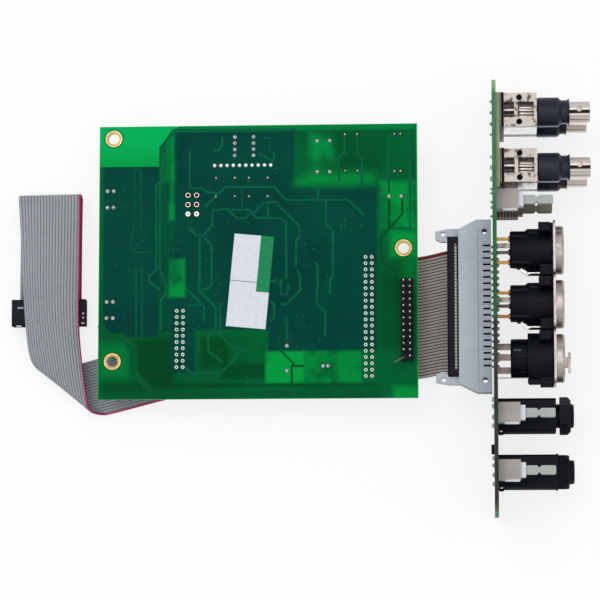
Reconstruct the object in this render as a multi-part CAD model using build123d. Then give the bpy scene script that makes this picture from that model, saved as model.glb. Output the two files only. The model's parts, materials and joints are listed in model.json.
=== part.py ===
from build123d import *
import os
from math import cos, pi, radians, sin, tan

# The card lies with its main board level and solder side up. The panel board stands on edge at +X.
# Places are measured from the main board's lower left corner and from the surface it lies on, in mm.

# Main board
board_length = 129.2
board_width = 111.6
board_thickness = 1.6
board_underside = 16.5
hole_radius = 2.2
land_radius = 3.4
land_thickness = 0.1
left_hole_x = 5.8
left_hole_low_y = 15.4
left_hole_spacing = 91.2
right_hole = (123.5, 60.7)
pitch = 2.54

# Label stuck on the main board
label_width = 16.1
label_length = 37.8
label_thickness = 0.12
label_centre = (61.5, 47.6)
label_turn = -5.3

# Pin strip
strip_centre = (124.9, 31.4)
strip_rows = 13
strip_height = 2.5
strip_width = 5.0
pin_side = 0.64
strip_pin_rise = 6.0
bent_pin_reach = 4.9
bent_pin_drop = 3.4

# Flat cable and the sockets on it
cable_pitch = 1.27
cable_thickness = 0.9
plug_end_allowance = 4.8
plug_width = 6.1
plug_body_depth = 6.9
plug_cover_depth = 2.9
plug_clearance = 0.2

# Box headers on the main board
header_wall = 1.3
header_floor = 2.4
header_height = 9.1
header_width = 8.9
key_width = 4.4
pin_reach = 5.8
header_40_centre = (109.45, 33.0)
header_40_rows = 20
header_20_centre = (33.1, 24.4)
header_20_rows = 10

# Panel board
panel_face = 159.4
panel_thickness = 1.6
panel_low_y = -47.1
panel_length = 171.0
panel_height = 44.0
middle_level = 22.0

# Header with ejector latches on the panel board
ejector_centre_y = 35.95
ejector_width = 9.4
ejector_front = 145.65
ejector_base_gap = 0.6
ejector_front_half = 30.9
ejector_base_half = 34.6
ejector_shoulder = 152.9
ejector_floor = 152.1
latch_pivot = (156.1, 29.9)
latch_pivot_radius = 1.55
latch_pivot_bore = 1.1
latch_thickness = 3.0
latch_slot = 3.4
latch_ear_end = 136.4
latch_ear_width = 5.2
latch_hole_radius = 0.9
latch_open = 30.0
vent_width = 0.8
vent_depth = 1.0

# Phono sockets
phono_columns = (112.6, 90.2)
phono_low_level = 10.6
phono_level_spacing = 22.4
phono_frame_back = 164.2
phono_frame_front = 177.3
phono_frame_half = 6.7
phono_frame_rise = 7.0
phono_frame_drop = 16.6
phono_wall = 1.2
phono_strip = 3.6
phono_sleeve_radius = 5.9
phono_neck_radius = 4.75
phono_sleeve_end = 190.2
phono_barrel_radius = 4.1
phono_root_radius = 3.5
phono_shoulder_gap = 0.2
phono_barrel_end = 198.4
phono_bore_radius = 3.4
phono_contact_radius = 2.1
phono_contact_bore = 1.6
spacer_thickness = 1.4
spacer_low_y = 81.4
spacer_high_y = 119.3
spacer_margin = 2.0

# Push switches
switch_places = ((77.3, 33.0), (77.3, 10.6), (-7.7, 33.0), (-30.3, 33.0))
switch_width = 8.0
switch_depth = 7.4
switch_rim = 1.3
guide_length = 2.0
guide_width = 5.8
plunger_width = 3.5
plunger_end = 183.5
plunger_travel = 3.0
plunger_clearance = 0.15

# XLR sockets
xlr_middle_y = 36.75
xlr_back = 166.2
xlr_front = 183.3
xlr_plate = 0.9
xlr_plate_width = 21.2
xlr_plate_gap = 0.55
xlr_pitch = xlr_plate_width + xlr_plate_gap
xlr_plate_height = 26.0
xlr_ring_radius = 9.75
xlr_ring_length = 3.4
xlr_cavity_radius = 8.0
xlr_cavity_back = 172.6
xlr_body_radius = 7.8
xlr_barrel_radius = 8.7
xlr_rear_flat = 6.5
xlr_pin_radius = 1.2
xlr_pin_circle = 4.75
xlr_insert_radius = 7.4
xlr_female_cavity = 9.0
xlr_female_radius = 10.1
xlr_latch_level = 9.6
xlr_latch_travel = 2.0

# 6.35 mm jacks
jack_places = (-7.3, -29.8)
jack_level = 13.6
jack_body_front = 184.0
jack_body_width = 13.3
jack_body_height = 14.4
jack_thread_radius = 4.8
jack_nose_end = 191.2
jack_bore_radius = 3.2
jack_bore_back = 163.0
nut_width = 13.2
nut_thickness = 4.4
nut_gaps = (1.5, 0.8)

board_top = board_underside + board_thickness
panel_front = panel_face + panel_thickness
cable_slot = cable_thickness + 0.1
phono_high_level = phono_low_level + phono_level_spacing
nodes = {}


def block(x, y, z):
    """A box between pairs of low and high values."""
    size = (x[1] - x[0], y[1] - y[0], z[1] - z[0])
    return Pos((x[0] + x[1]) / 2, (y[0] + y[1]) / 2, (z[0] + z[1]) / 2) * Box(*size)


def rod(x, y, z, radius):
    """A round bar along X between a pair of values."""
    return Pos((x[0] + x[1]) / 2, y, z) * Rot(0, 90, 0) * Cylinder(radius, x[1] - x[0])


def post(x, y, z, radius):
    """A round bar along Z between a pair of levels."""
    return Pos(x, y, (z[0] + z[1]) / 2) * Cylinder(radius, z[1] - z[0])


def turned(points, y, z):
    """A body turned about an axis along X, from (x, radius) points."""
    outline = Polyline([(x, 0, r) for x, r in points], close=True)
    return Pos(0, y, z) * revolve(make_face(outline), Axis.X, 360)


def spread(count, step, centre=0.0):
    """Evenly spaced values about a centre."""
    return [centre + (i - (count - 1) / 2) * step for i in range(count)]


def joint_cone(x, y, level, up=1, radius=0.95, height=1.2):
    """An eight-sided solder joint on a board's face at a level."""
    foot = Pos(x, y, level) * RegularPolygon(radius, 8)
    return extrude(foot, height * up, taper=24)


def group(solids):
    """Separate solids in one node."""
    return Compound(children=list(solids))


# Main board, its copper rings, label and solder joints
mounting_holes = [
    (left_hole_x, left_hole_low_y),
    (left_hole_x, left_hole_low_y + left_hole_spacing),
    right_hole,
]
open_ring_x = spread(2, 3.5, 37.95)
open_ring_y = spread(3, 3.85, 79.2)
open_rings = [(x, y) for x in open_ring_x for y in open_ring_y]
open_ring_bore = 0.55
open_ring_land = 1.15

main_board = block((0, board_length), (0, board_width), (board_underside, board_top))
for x, y in mounting_holes:
    main_board -= post(x, y, (board_underside - 1, board_top + 1), hole_radius)
for x, y in open_rings:
    main_board -= post(x, y, (board_underside - 1, board_top + 1), open_ring_bore)
nodes["main_board"] = main_board

lands = []
for x, y in mounting_holes:
    ring = post(x, y, (board_top, board_top + land_thickness), land_radius)
    lands.append(ring - post(x, y, (board_top, board_top + land_thickness), hole_radius))
for x, y in open_rings:
    ring = post(x, y, (board_top, board_top + land_thickness), open_ring_land)
    lands.append(ring - post(x, y, (board_top, board_top + land_thickness), open_ring_bore + 0.05))
nodes["hole_lands"] = group(lands)

label = Pos(*label_centre, board_top + label_thickness / 2) * Rot(0, 0, label_turn)
nodes["board_label"] = label * Box(label_width, label_length, label_thickness)

network_leads = [(x, 95.1) for x in spread(10, pitch, 58.45)]
chip_leads = [(x, y) for x in spread(2, 7.62, 59.0) for y in spread(4, pitch, 103.0)]
oscillator_centres = [(51.4, 86.2), (64.8, 86.1)]
oscillator_leads = [
    (cx + dx, cy + dy)
    for cx, cy in oscillator_centres
    for dx in spread(2, 7.62)
    for dy in spread(2, 7.62)
]
side_leads = [(x, y) for x in spread(2, pitch, 4.6) for y in (85.0, 78.3, 39.7, 33.05)]
tall_can_places = [(91.25, 104.9), (91.25, 92.1), (102.55, 92.35)]
film_places = [(102.4, 107.4), (120.3, 81.8)]
small_can_places = [(121.25, 107.3), (121.2, 92.1)]
wide_leads = [
    (x + dx, y) for x, y in tall_can_places + film_places for dx in spread(2, 5.0)
]
narrow_leads = [(x + dx, y) for x, y in small_can_places for dx in spread(2, 2.5)]
header_leads = [
    (cx + dx, y)
    for (cx, cy), rows in ((header_40_centre, header_40_rows), (header_20_centre, header_20_rows))
    for dx in spread(2, pitch)
    for y in spread(rows, pitch, cy)
]
all_leads = (
    network_leads + chip_leads + oscillator_leads + side_leads + wide_leads
    + narrow_leads + header_leads + [(76.4, 21.3), (76.4, 11.2), (91.0, 13.05), (93.0, 13.05)]
)
solder_joint = joint_cone(0, 0, 0)
nodes["solder_joints"] = group(Pos(x, y, board_top) * solder_joint for x, y in all_leads)

# Pin strip: the insulator has a notch between its positions
strip_length = strip_rows * pitch
strip_x = (strip_centre[0] - strip_width / 2, strip_centre[0] + strip_width / 2)
strip_y = (strip_centre[1] - strip_length / 2, strip_centre[1] + strip_length / 2)
strip = block(strip_x, strip_y, (board_top, board_top + strip_height))
for y in spread(strip_rows - 1, pitch, strip_centre[1]):
    for x in strip_x:
        notch = Rot(0, 0, 45) * Box(0.7, 0.7, strip_height)
        strip -= Pos(x, y, board_top + strip_height / 2) * notch
nodes["pin_strip_base"] = strip

strip_top = board_top + strip_height
pin_top = strip_top + strip_pin_rise
strip_pins = []
for column, x in enumerate(spread(2, pitch, strip_centre[0])):
    for row, y in enumerate(spread(strip_rows, pitch, strip_centre[1])):
        if (column, row) == (0, 0):
            continue
        half = pin_side / 2
        pin = block((x - half, x + half), (y - half, y + half), (strip_top, pin_top))
        strip_pins.append(chamfer(pin.faces().sort_by(Axis.Z)[-1].edges(), 0.15))
bent_x = strip_centre[0] - pitch / 2
bent_y = strip_centre[1] - (strip_rows - 1) * pitch / 2
bent_path = Polyline(
    (bent_x, bent_y, strip_top),
    (bent_x, bent_y, strip_top + 0.9),
    (bent_x - bent_pin_reach * 0.87, bent_y - bent_pin_reach * 0.5, strip_top + bent_pin_drop),
)
bent_section = Plane(origin=(bent_x, bent_y, strip_top)) * Rectangle(pin_side, pin_side)
strip_pins.append(sweep(bent_section, bent_path, transition=Transition.RIGHT))
nodes["pin_strip_pins"] = group(strip_pins)


def plug_length(rows):
    """The length of a ribbon socket with two rows of contacts."""
    return rows * pitch + plug_end_allowance


# The parts of a ribbon socket and its header stand on a plane at z = 0, long side along X.
# The ribbon lies at the level cable_seat, between the socket's body and its cover.
cable_seat = header_floor + plug_clearance + plug_body_depth + cable_slot / 2


def plug_body(rows):
    """The contact body, with one slot for each row of pins and a key on one side."""
    low = header_floor + plug_clearance
    high = low + plug_body_depth
    half = plug_length(rows) / 2
    body = block((-half, half), (-plug_width / 2, plug_width / 2), (low, high))
    body = chamfer(body.edges().filter_by(Axis.X).group_by(Axis.Z)[0], 0.4)
    slot = pitch * rows / 2
    for y in spread(2, pitch):
        body -= block((-slot, slot), (y - 0.5, y + 0.5), (low - 1, low + pin_reach))
    key = block((-key_width / 2 + 0.2, key_width / 2 - 0.2), (plug_width / 2, plug_width / 2 + 0.8), (low, high))
    return body + key


def plug_cover(rows):
    """The cover that presses the ribbon down, with a leg at each end and two long ribs."""
    low = header_floor + plug_clearance + plug_body_depth
    high = low + cable_slot + plug_cover_depth
    half = plug_length(rows) / 2
    cover = block((-half, half), (-plug_width / 2, plug_width / 2), (low, high))
    ribbon_half = rows * cable_pitch + 0.1
    cover -= block((-ribbon_half, ribbon_half), (-plug_width, plug_width), (low, low + cable_slot))
    cover = chamfer(cover.edges().filter_by(Axis.X).group_by(Axis.Z)[-1], 0.6)
    for x in spread(2, rows * pitch / 2 + 2.0):
        cover -= block((x - 3, x + 3), (-1.0, 1.0), (high - 0.8, high))
    return cover


def header_shroud(rows):
    """The open box round the pins, with the key's notch in one side."""
    inner = plug_length(rows) / 2 + plug_clearance
    outer = inner + header_wall
    side = header_width / 2
    shroud = block((-outer, outer), (-side, side), (0, header_height))
    shroud -= block((-inner, inner), (-side + header_wall, side - header_wall), (header_floor, header_height))
    key = (-key_width / 2, key_width / 2)
    return shroud - block(key, (plug_width / 2, header_width), (header_floor, header_height))


def header_pins(rows):
    """Two rows of square pins that stand on the header's floor."""
    pin = Pos(0, 0, header_floor + pin_reach / 2) * Box(pin_side, pin_side, pin_reach)
    return group(Pos(x, y, 0) * pin for x in spread(rows, pitch) for y in spread(2, pitch))


# Headers and ribbon sockets under the main board, turned over and along Y
for ways, rows, (x, y) in ((40, header_40_rows, header_40_centre), (20, header_20_rows, header_20_centre)):
    under = Plane(origin=(x, y, board_underside), x_dir=(0, 1, 0), z_dir=(0, 0, -1)).location
    nodes[f"header_{ways}_shroud"] = under * header_shroud(rows)
    nodes[f"header_{ways}_pins"] = under * header_pins(rows)
    nodes[f"socket_{ways}_body"] = under * plug_body(rows)
    nodes[f"socket_{ways}_cover"] = under * plug_cover(rows)
ribbon_level = board_underside - cable_seat

# Parts on the component side of the main board
can_height = board_underside
can_radius = 5.0


def can(x, y, radius, height):
    """An electrolytic capacitor that hangs from the board, with its crimp groove."""
    low = board_underside - height
    groove = low + height * 0.84
    outline = Polyline(
        [(0, low), (radius, low), (radius, groove - 0.5), (radius - 0.4, groove),
         (radius, groove + 0.5), (radius, board_underside), (0, board_underside)],
        close=True,
    )
    return Pos(x, y, 0) * revolve(Plane.XZ * make_face(outline), Axis.Z, 360)


nodes["tall_capacitors"] = group(can(x, y, can_radius, can_height) for x, y in tall_can_places)
nodes["small_capacitors"] = group(can(x, y, 3.15, 11.0) for x, y in small_can_places)
nodes["film_capacitors"] = group(
    block((x - 3.6, x + 3.6), (y - 1.8, y + 1.8), (board_underside - 7.5, board_underside))
    for x, y in film_places
)
network = block((46.3, 70.6), (93.9, 96.3), (board_underside - 5.2, board_underside))
nodes["resistor_network"] = fillet(network.edges().filter_by(Axis.Y), 0.8)
metal_cans = []
for x, y in oscillator_centres:
    metal = block((x - 6.4, x + 6.4), (y - 6.4, y + 6.4), (board_underside - 5.2, board_underside))
    metal_cans.append(fillet(metal.edges().filter_by(Axis.Z), 1.2))
nodes["oscillators"] = group(metal_cans)
chip = block((55.6, 62.4), (98.2, 107.8), (board_underside - 3.9, board_underside - 0.5))
chip_pins = group(
    block((min(x, 59.0 + (x - 59.0) * 0.8), max(x, 59.0 + (x - 59.0) * 0.8)), (y - 0.3, y + 0.3),
          (board_underside - 2.4, board_underside))
    for x, y in chip_leads
)
nodes["eight_lead_chip"] = chip + chip_pins
flat_chips = [
    ((66.0, 80.0), (56.0, 70.0), 1.5),
    ((84.0, 94.3), (58.0, 65.5), 2.2),
    ((40.0, 50.3), (54.0, 61.5), 2.2),
    ((52.0, 62.3), (12.0, 19.5), 2.2),
    ((74.0, 84.3), (30.0, 37.5), 2.2),
]
surface_chips = [block(x, y, (board_underside - height, board_underside)) for x, y, height in flat_chips]
surface_chips.append(block((panel_face - 1.2, panel_face), (-23.9, -20.3), (31.0, 35.0)))
nodes["surface_chips"] = group(surface_chips)

# Panel board and the plate behind the phono sockets
nodes["panel_board"] = block(
    (panel_face, panel_front), (panel_low_y, panel_low_y + panel_length), (0, panel_height)
)
spacer_front = panel_front + spacer_thickness
nodes["phono_spacer"] = block(
    (panel_front, spacer_front), (spacer_low_y, spacer_high_y),
    (spacer_margin, panel_height - spacer_margin),
)

# Phono sockets: a frame and a base for each column, a turned barrel in a sleeve at each level
carrier_half = 4.5
sleeve_bore = phono_root_radius + 0.05
frame_low = phono_high_level - phono_frame_drop
frame_high = phono_high_level + phono_frame_rise
for column, y in enumerate(phono_columns, 1):
    base = block(
        (spacer_front, phono_frame_back), (y - 6.9, y + 6.9),
        (phono_low_level - carrier_half, frame_high + 0.6),
    )
    base += block(
        (phono_frame_back, phono_frame_front), (y - carrier_half, y + carrier_half),
        (phono_low_level - carrier_half, phono_low_level + carrier_half),
    )
    for level in (phono_low_level, phono_high_level):
        base -= rod((spacer_front, phono_frame_front + 1), y, level, sleeve_bore)
    nodes[f"phono_base_{column}"] = base

    half = phono_frame_half
    wall = phono_wall
    frame = block((phono_frame_back, phono_frame_front), (y - half, y + half), (frame_low, frame_high))
    frame -= block(
        (phono_frame_back, phono_frame_front - wall), (y - half + wall, y + half - wall),
        (frame_low, frame_high - wall),
    )
    frame -= rod((phono_frame_back, phono_frame_front + 1), y, phono_high_level, sleeve_bore)
    window = half - phono_strip
    bar = (phono_frame_back + 4.1, phono_frame_back + 5.5)
    for x in ((phono_frame_back, bar[0]), (bar[1], phono_frame_front - wall)):
        frame -= block(x, (y - window, y + window), (frame_high - wall, frame_high))
    for side in spread(2, 2 * (half - phono_strip / 2), y):
        frame -= post(phono_frame_back + 6.1, side, (frame_high - wall, frame_high), 1.2)
    nodes[f"phono_frame_{column}"] = frame

sleeves = []
barrels = []
contacts = []
for y in phono_columns:
    for level in (phono_low_level, phono_high_level):
        end = phono_sleeve_end
        shift = 0.0 if level > middle_level else -0.7
        sleeves.append(turned(
            [(phono_frame_front, sleeve_bore), (phono_frame_front, phono_sleeve_radius - 0.4),
             (phono_frame_front + 0.6, phono_sleeve_radius), (end - 4.4, phono_sleeve_radius),
             (end - 3.2, phono_neck_radius), (end - 1.1, phono_neck_radius),
             (end + shift, phono_neck_radius + 0.6), (end + shift, sleeve_bore)], y, level))
        tip = phono_barrel_end + shift
        shoulder = end + shift + phono_shoulder_gap
        barrels.append(turned(
            [(spacer_front, 0), (spacer_front, phono_root_radius), (shoulder, phono_root_radius),
             (shoulder, phono_barrel_radius), (tip - 0.4, phono_barrel_radius),
             (tip, phono_barrel_radius - 0.3), (tip, phono_bore_radius),
             (tip - 9.0, phono_bore_radius), (tip - 9.0, 0)], y, level))
        contacts.append(turned(
            [(tip - 9.0, 0), (tip - 9.0, phono_contact_radius), (tip - 0.8, phono_contact_radius),
             (tip - 0.8, phono_contact_bore), (tip - 8.0, phono_contact_bore), (tip - 8.0, 0)], y, level))
nodes["phono_sleeves"] = group(sleeves)
nodes["phono_barrels"] = group(barrels)
nodes["phono_contacts"] = group(contacts)

# Push switches: a case with a pocket, a guide and a plunger that slides toward the panel board
case_front = panel_front + switch_depth
rim_front = case_front + switch_rim
guide_front = rim_front + guide_length
plunger_back = case_front - 0.5
plunger_half = plunger_width / 2
guide_bore = plunger_half + plunger_clearance
cases = []
guides = []
for number, (y, z) in enumerate(switch_places, 1):
    half = switch_width / 2
    case = block((panel_front, case_front), (y - half, y + half), (z - half, z + half))
    pocket = (plunger_back - plunger_travel - 0.4, case_front)
    cases.append(case - block(pocket, (y - 2.2, y + 2.2), (z - 2.2, z + 2.2)))
    guide = block((case_front, rim_front), (y - half, y + half), (z - half, z + half))
    guide += block(
        (rim_front, guide_front), (y - guide_width / 2, y + guide_width / 2),
        (z - guide_width / 2, z + guide_width / 2),
    )
    guides.append(guide - block(
        (case_front, guide_front), (y - guide_bore, y + guide_bore), (z - guide_bore, z + guide_bore)))
    waist = plunger_end - 6.5
    plunger = block(
        (plunger_back, plunger_end), (y - plunger_half, y + plunger_half),
        (z - plunger_half, z + plunger_half),
    )
    for side in (-1, 1):
        groove = Pos(waist, y + side * plunger_half, z) * Rot(0, 0, 45) * Box(1.3, 1.3, plunger_width)
        plunger -= groove
    tip_edges = plunger.faces().sort_by(Axis.X)[-1].edges().filter_by(Axis.Z)
    nodes[f"switch_plunger_{number}"] = fillet(tip_edges, 0.6)
nodes["switch_cases"] = group(cases)
nodes["switch_guides"] = group(guides)

# XLR sockets
xlr_places = [xlr_middle_y + (1 - i) * xlr_pitch for i in range(3)]
plate_front = xlr_front + xlr_plate
ring_front = plate_front + xlr_ring_length
pin_places = [(-xlr_pin_circle, 0.0), (0.0, -xlr_pin_circle), (xlr_pin_circle, 0.0)]
block_half = 10.4


def xlr_shell(y, bore):
    """The nickel plate with its raised ring."""
    plate = block(
        (xlr_front, plate_front), (y - xlr_plate_width / 2, y + xlr_plate_width / 2),
        (middle_level - xlr_plate_height / 2, middle_level + xlr_plate_height / 2),
    )
    plate = fillet(plate.edges().filter_by(Axis.X), 2.0)
    outer = xlr_ring_radius
    ring = turned(
        [(plate_front, 0), (plate_front, outer), (ring_front - 0.8, outer),
         (ring_front - 0.2, outer - 0.25), (ring_front, outer - 0.6), (ring_front, 0)],
        y, middle_level)
    return plate + ring - rod((xlr_front - 1, ring_front + 1), y, middle_level, bore)


def xlr_housing(y, body, barrel):
    """The black moulding: rear body with ribs, wider barrel and square front block."""
    z = middle_level
    housing = turned(
        [(xlr_back, 0), (xlr_back, body - 0.4), (xlr_back + 0.4, body), (xlr_cavity_back + 0.4, body),
         (xlr_cavity_back + 0.4, barrel), (xlr_front, barrel), (xlr_front, 0)], y, z)
    for turn in (45, 90, 135, 225, 315):
        rib = Pos((xlr_back + xlr_front) / 2 - 1, 0, body) * Box(xlr_front - xlr_back - 4, 1.2, 1.4)
        housing += Pos(0, y, z) * Rot(turn - 90, 0, 0) * rib
    housing += block(
        (xlr_front - 5.2, xlr_front), (y - block_half, y + block_half), (z - 12.4, z + 6.0)
    )
    housing += block((xlr_front - 5.8, xlr_front - 1.2), (y + 6.5, y + block_half - 0.4), (z + 6.0, z + 10.6))
    return housing


for number, y in enumerate(xlr_places, 1):
    z = middle_level
    male = number < 3
    bore = xlr_cavity_radius if male else xlr_female_cavity
    nodes[f"xlr_{number}_shell"] = xlr_shell(y, bore)
    barrel = xlr_barrel_radius if male else xlr_female_radius
    housing = xlr_housing(y, xlr_body_radius, barrel)
    if male:
        housing -= rod((xlr_cavity_back, xlr_front + 1), y, z, bore)
        for dy, dz in pin_places:
            housing -= rod((xlr_back - 1, xlr_front), y + dy, z + dz, xlr_pin_radius + 0.05)
        housing -= block((xlr_back - 1, xlr_cavity_back), (y - 12, y - xlr_rear_flat), (z - 12, z + 12))
    else:
        groove = rod((xlr_cavity_back + 1.0, xlr_front + 1), y, z, bore)
        housing -= groove - rod((xlr_cavity_back, xlr_front + 1), y, z, xlr_insert_radius)
        housing += rod((xlr_front, ring_front - 1.2), y, z, xlr_insert_radius)
        for dy, dz in pin_places:
            housing -= rod((xlr_cavity_back + 1.0, ring_front), y + dy, z - dz, 1.4)
        stem_slot = block(
            (xlr_front - 5.2, xlr_front), (y - 2.9, y + 2.3), (xlr_latch_level - 1.2, xlr_latch_level + 1.2)
        )
        housing -= stem_slot
        nodes["xlr_3_shell"] -= block(
            (xlr_front, plate_front), (y - 2.9, y + 2.3), (xlr_latch_level - 1.2, xlr_latch_level + 1.2)
        )
    nodes[f"xlr_{number}_housing"] = housing

pins = []
for y in xlr_places[:2]:
    for dy, dz in pin_places:
        pin = rod((xlr_back - 0.6, plate_front), y + dy, middle_level + dz, xlr_pin_radius)
        pin = fillet(pin.faces().sort_by(Axis.X)[-1].edges(), 0.7)
        leg = block(
            (panel_front, xlr_back - 0.6), (y + dy - 0.65, y + dy + 0.65),
            (middle_level + dz - 0.4, middle_level + dz + 0.4),
        )
        pins.append(pin + leg)
nodes["xlr_pins"] = group(pins)
female_y = xlr_places[2]
nodes["xlr_3_contacts"] = group(
    block((panel_front, xlr_back), (female_y + dy - 1.3, female_y + dy + 1.3),
          (middle_level - dz - 0.4, middle_level - dz + 0.4))
    for dy, dz in pin_places
)

# Ground springs: a leg to the panel board and a clip along the housing's lower side
springs = []
for y in xlr_places[:2]:
    springs.append(block((panel_front, xlr_back), (y + 0.3, y + 2.3), (middle_level + 5.0, middle_level + 5.5)))
    clip = Polyline(
        (xlr_front - 5.2, y - 9.3, middle_level),
        (xlr_front - 8.5, y - 9.25, middle_level),
        (xlr_front - 10.5, y - 9.8, middle_level),
        (xlr_front - 12.5, y - 8.3, middle_level),
    )
    section = Plane(origin=(xlr_front - 5.2, y - 9.3, middle_level), z_dir=(-1, 0, 0)) * Rectangle(4.0, 0.4)
    springs.append(sweep(section, clip, transition=Transition.RIGHT))
nodes["xlr_ground_springs"] = group(springs)

# Release latch of the female socket: a stem through the plate and a push plate in front of it
stem_y = (female_y - 2.5, female_y + 1.9)
latch_reach = ring_front + 1.7
latch = block(
    (xlr_front - 5.2 + xlr_latch_travel + 0.4, latch_reach), stem_y, (xlr_latch_level - 0.8, xlr_latch_level + 0.8)
)
latch += block(
    (latch_reach, latch_reach + 1.0), (female_y - 4.3, female_y + 3.7),
    (xlr_latch_level - 2.4, xlr_latch_level + 1.8),
)
nodes["xlr_3_latch"] = latch

# Jacks: a square body, a threaded nose and a hexagon nut
nuts = []
for number, y in enumerate(jack_places, 1):
    half = jack_body_width / 2
    body = block(
        (panel_front, jack_body_front), (y - half, y + half),
        (jack_level - jack_body_height / 2, jack_level + jack_body_height / 2),
    )
    body = chamfer(body.edges().filter_by(Axis.X), 0.8)
    body += turned(
        [(jack_body_front, 0), (jack_body_front, jack_thread_radius),
         (jack_nose_end - 0.6, jack_thread_radius), (jack_nose_end, jack_thread_radius - 0.5),
         (jack_nose_end, 0)], y, jack_level)
    body -= rod((jack_bore_back, jack_nose_end + 1), y, jack_level, jack_bore_radius)
    for side in (-1, 1):
        body -= block(
            (panel_front + 3, panel_front + 13), (y + side * 3.6 - 0.6, y + side * 3.6 + 0.6),
            (jack_level - jack_body_height / 2, jack_level - jack_body_height / 2 + 1.2),
        )
    nodes[f"jack_{number}_body"] = body
    back = jack_body_front + nut_gaps[number - 1]
    hexagon = Rot(0, 90, 0) * Rot(0, 0, 30 * (2 - number)) * RegularPolygon(nut_width / 2, 6, major_radius=False)
    nut = Pos(back, y, jack_level) * extrude(hexagon, nut_thickness)
    face = turned(
        [(back, 0), (back, nut_width), (back + nut_thickness - 1.4, nut_width / 2 + 1.1),
         (back + nut_thickness, nut_width / 2 - 0.2), (back + nut_thickness, 0)], y, jack_level)
    nuts.append((nut & face) - rod((back - 1, back + nut_thickness + 1), y, jack_level, jack_thread_radius + 0.05))
nodes["jack_nuts"] = group(nuts)

# Header with ejector latches: the shroud's ends are cheeks with a latch between them
shroud_back = panel_face - ejector_base_gap
z_low = middle_level - ejector_width / 2
z_high = middle_level + ejector_width / 2
centre = ejector_centre_y
outline = Polyline(
    (ejector_front, centre - ejector_front_half),
    (ejector_front, centre + ejector_front_half),
    (ejector_shoulder, centre + ejector_base_half),
    (shroud_back, centre + ejector_base_half),
    (shroud_back, centre - ejector_base_half),
    (ejector_shoulder, centre - ejector_base_half),
    close=True,
)
shroud = Pos(0, 0, z_low) * extrude(make_face(outline), ejector_width)
socket_half = plug_length(header_40_rows) / 2
cavity_half = socket_half + plug_clearance
cavity_z = plug_width / 2 + plug_clearance
shroud -= block(
    (ejector_front, ejector_floor), (centre - cavity_half, centre + cavity_half),
    (middle_level - cavity_z, middle_level + cavity_z),
)
key = (centre - key_width / 2, centre + key_width / 2)
shroud -= block((ejector_front, ejector_floor), key, (z_low, middle_level))
for side in (-1, 1):
    ends = sorted((centre + side * cavity_half, centre + side * (ejector_base_half + 1)))
    shroud -= block(
        (ejector_front, shroud_back), ends, (middle_level - latch_slot / 2, middle_level + latch_slot / 2)
    )
    pivot_y = centre + side * latch_pivot[1]
    shroud -= post(latch_pivot[0], pivot_y, (z_low, z_high), latch_pivot_radius + 0.05)
for y in spread(header_40_rows, pitch, centre):
    for level in ((z_low, z_low + vent_depth), (z_high - vent_depth, z_high)):
        shroud -= block((shroud_back - 3.4, shroud_back - 0.4), (y - vent_width / 2, y + vent_width / 2), level)
nodes["ejector_shroud"] = shroud

pins = []
half = pin_side / 2
for y in spread(header_40_rows, pitch, centre):
    for z in spread(2, pitch, middle_level):
        for x in ((ejector_floor - pin_reach, ejector_floor), (shroud_back, panel_face)):
            pins.append(block(x, (y - half, y + half), (z - half, z + half)))
nodes["ejector_pins"] = group(pins)

# Each latch is one moulding: trunnion, arm beside the ribbon socket, and an ear that hooks over it
latch_boss = 1.8
arm_inner = cavity_half + 0.3
arm_outer = arm_inner + 3.1
ear_x = (latch_ear_end, ejector_floor - cable_seat + header_floor - plug_cover_depth - 0.75)
ear_inner = arm_outer - latch_ear_width
for side, name in ((1, "upper"), (-1, "lower")):
    corners = [
        (latch_pivot[0], arm_inner), (latch_pivot[0], arm_outer), (ear_x[1] + 0.6, arm_outer),
        (ear_x[0], arm_outer - 1.0), (ear_x[0], ear_inner + 1.1), (ear_x[0] + 2.2, ear_inner),
        (ear_x[1], ear_inner), (ear_x[1], arm_inner),
    ]
    points = [(x, centre + side * offset) for x, offset in corners]
    low = middle_level - latch_thickness / 2
    arm = Pos(0, 0, low) * extrude(make_face(Polyline(*points, close=True)), latch_thickness)
    levels = (low, low + latch_thickness)
    pivot_y = centre + side * latch_pivot[1]
    arm += post(latch_pivot[0], pivot_y, levels, latch_boss)
    arm += post(latch_pivot[0], pivot_y, (z_low, z_high), latch_pivot_radius)
    hole_y = centre + side * (arm_outer - 2.0)
    arm -= post(ear_x[0] + 3.1, hole_y, levels, latch_hole_radius)
    arm -= post(latch_pivot[0], pivot_y, (z_low, z_high), latch_pivot_bore)
    nodes[f"latch_{name}"] = arm

panel_seat = Plane(
    origin=(ejector_floor + header_floor, centre, middle_level), x_dir=(0, 1, 0), z_dir=(-1, 0, 0)
).location
nodes["panel_socket_body"] = panel_seat * plug_body(header_40_rows)
nodes["panel_socket_cover"] = panel_seat * plug_cover(header_40_rows)

# Solder tails on both faces of the panel board
tail = joint_cone(0, 0, 0, radius=0.75, height=0.9)
back_tails = [(y, z) for z in (33.0, 10.6) for y in (117.2, 112.6, 108.0, 94.8, 90.2, 85.6, 80.2, 74.4)]
back_tails += [(y, z) for z in (38.0, 30.0) for y in (-2.5, -5.1, -9.4, -12.8, -25.6, -28.5, -32.2, -35.8)]
front_tails = [(y, z) for y in spread(header_40_rows, pitch, centre) for z in spread(2, pitch, middle_level)]
tails = [Pos(panel_face, y, z) * Rot(0, -90, 0) * tail for y, z in back_tails]
tails += [Pos(panel_front, y, z) * Rot(0, 90, 0) * tail for y, z in front_tails]
nodes["panel_solder_tails"] = group(tails)


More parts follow.
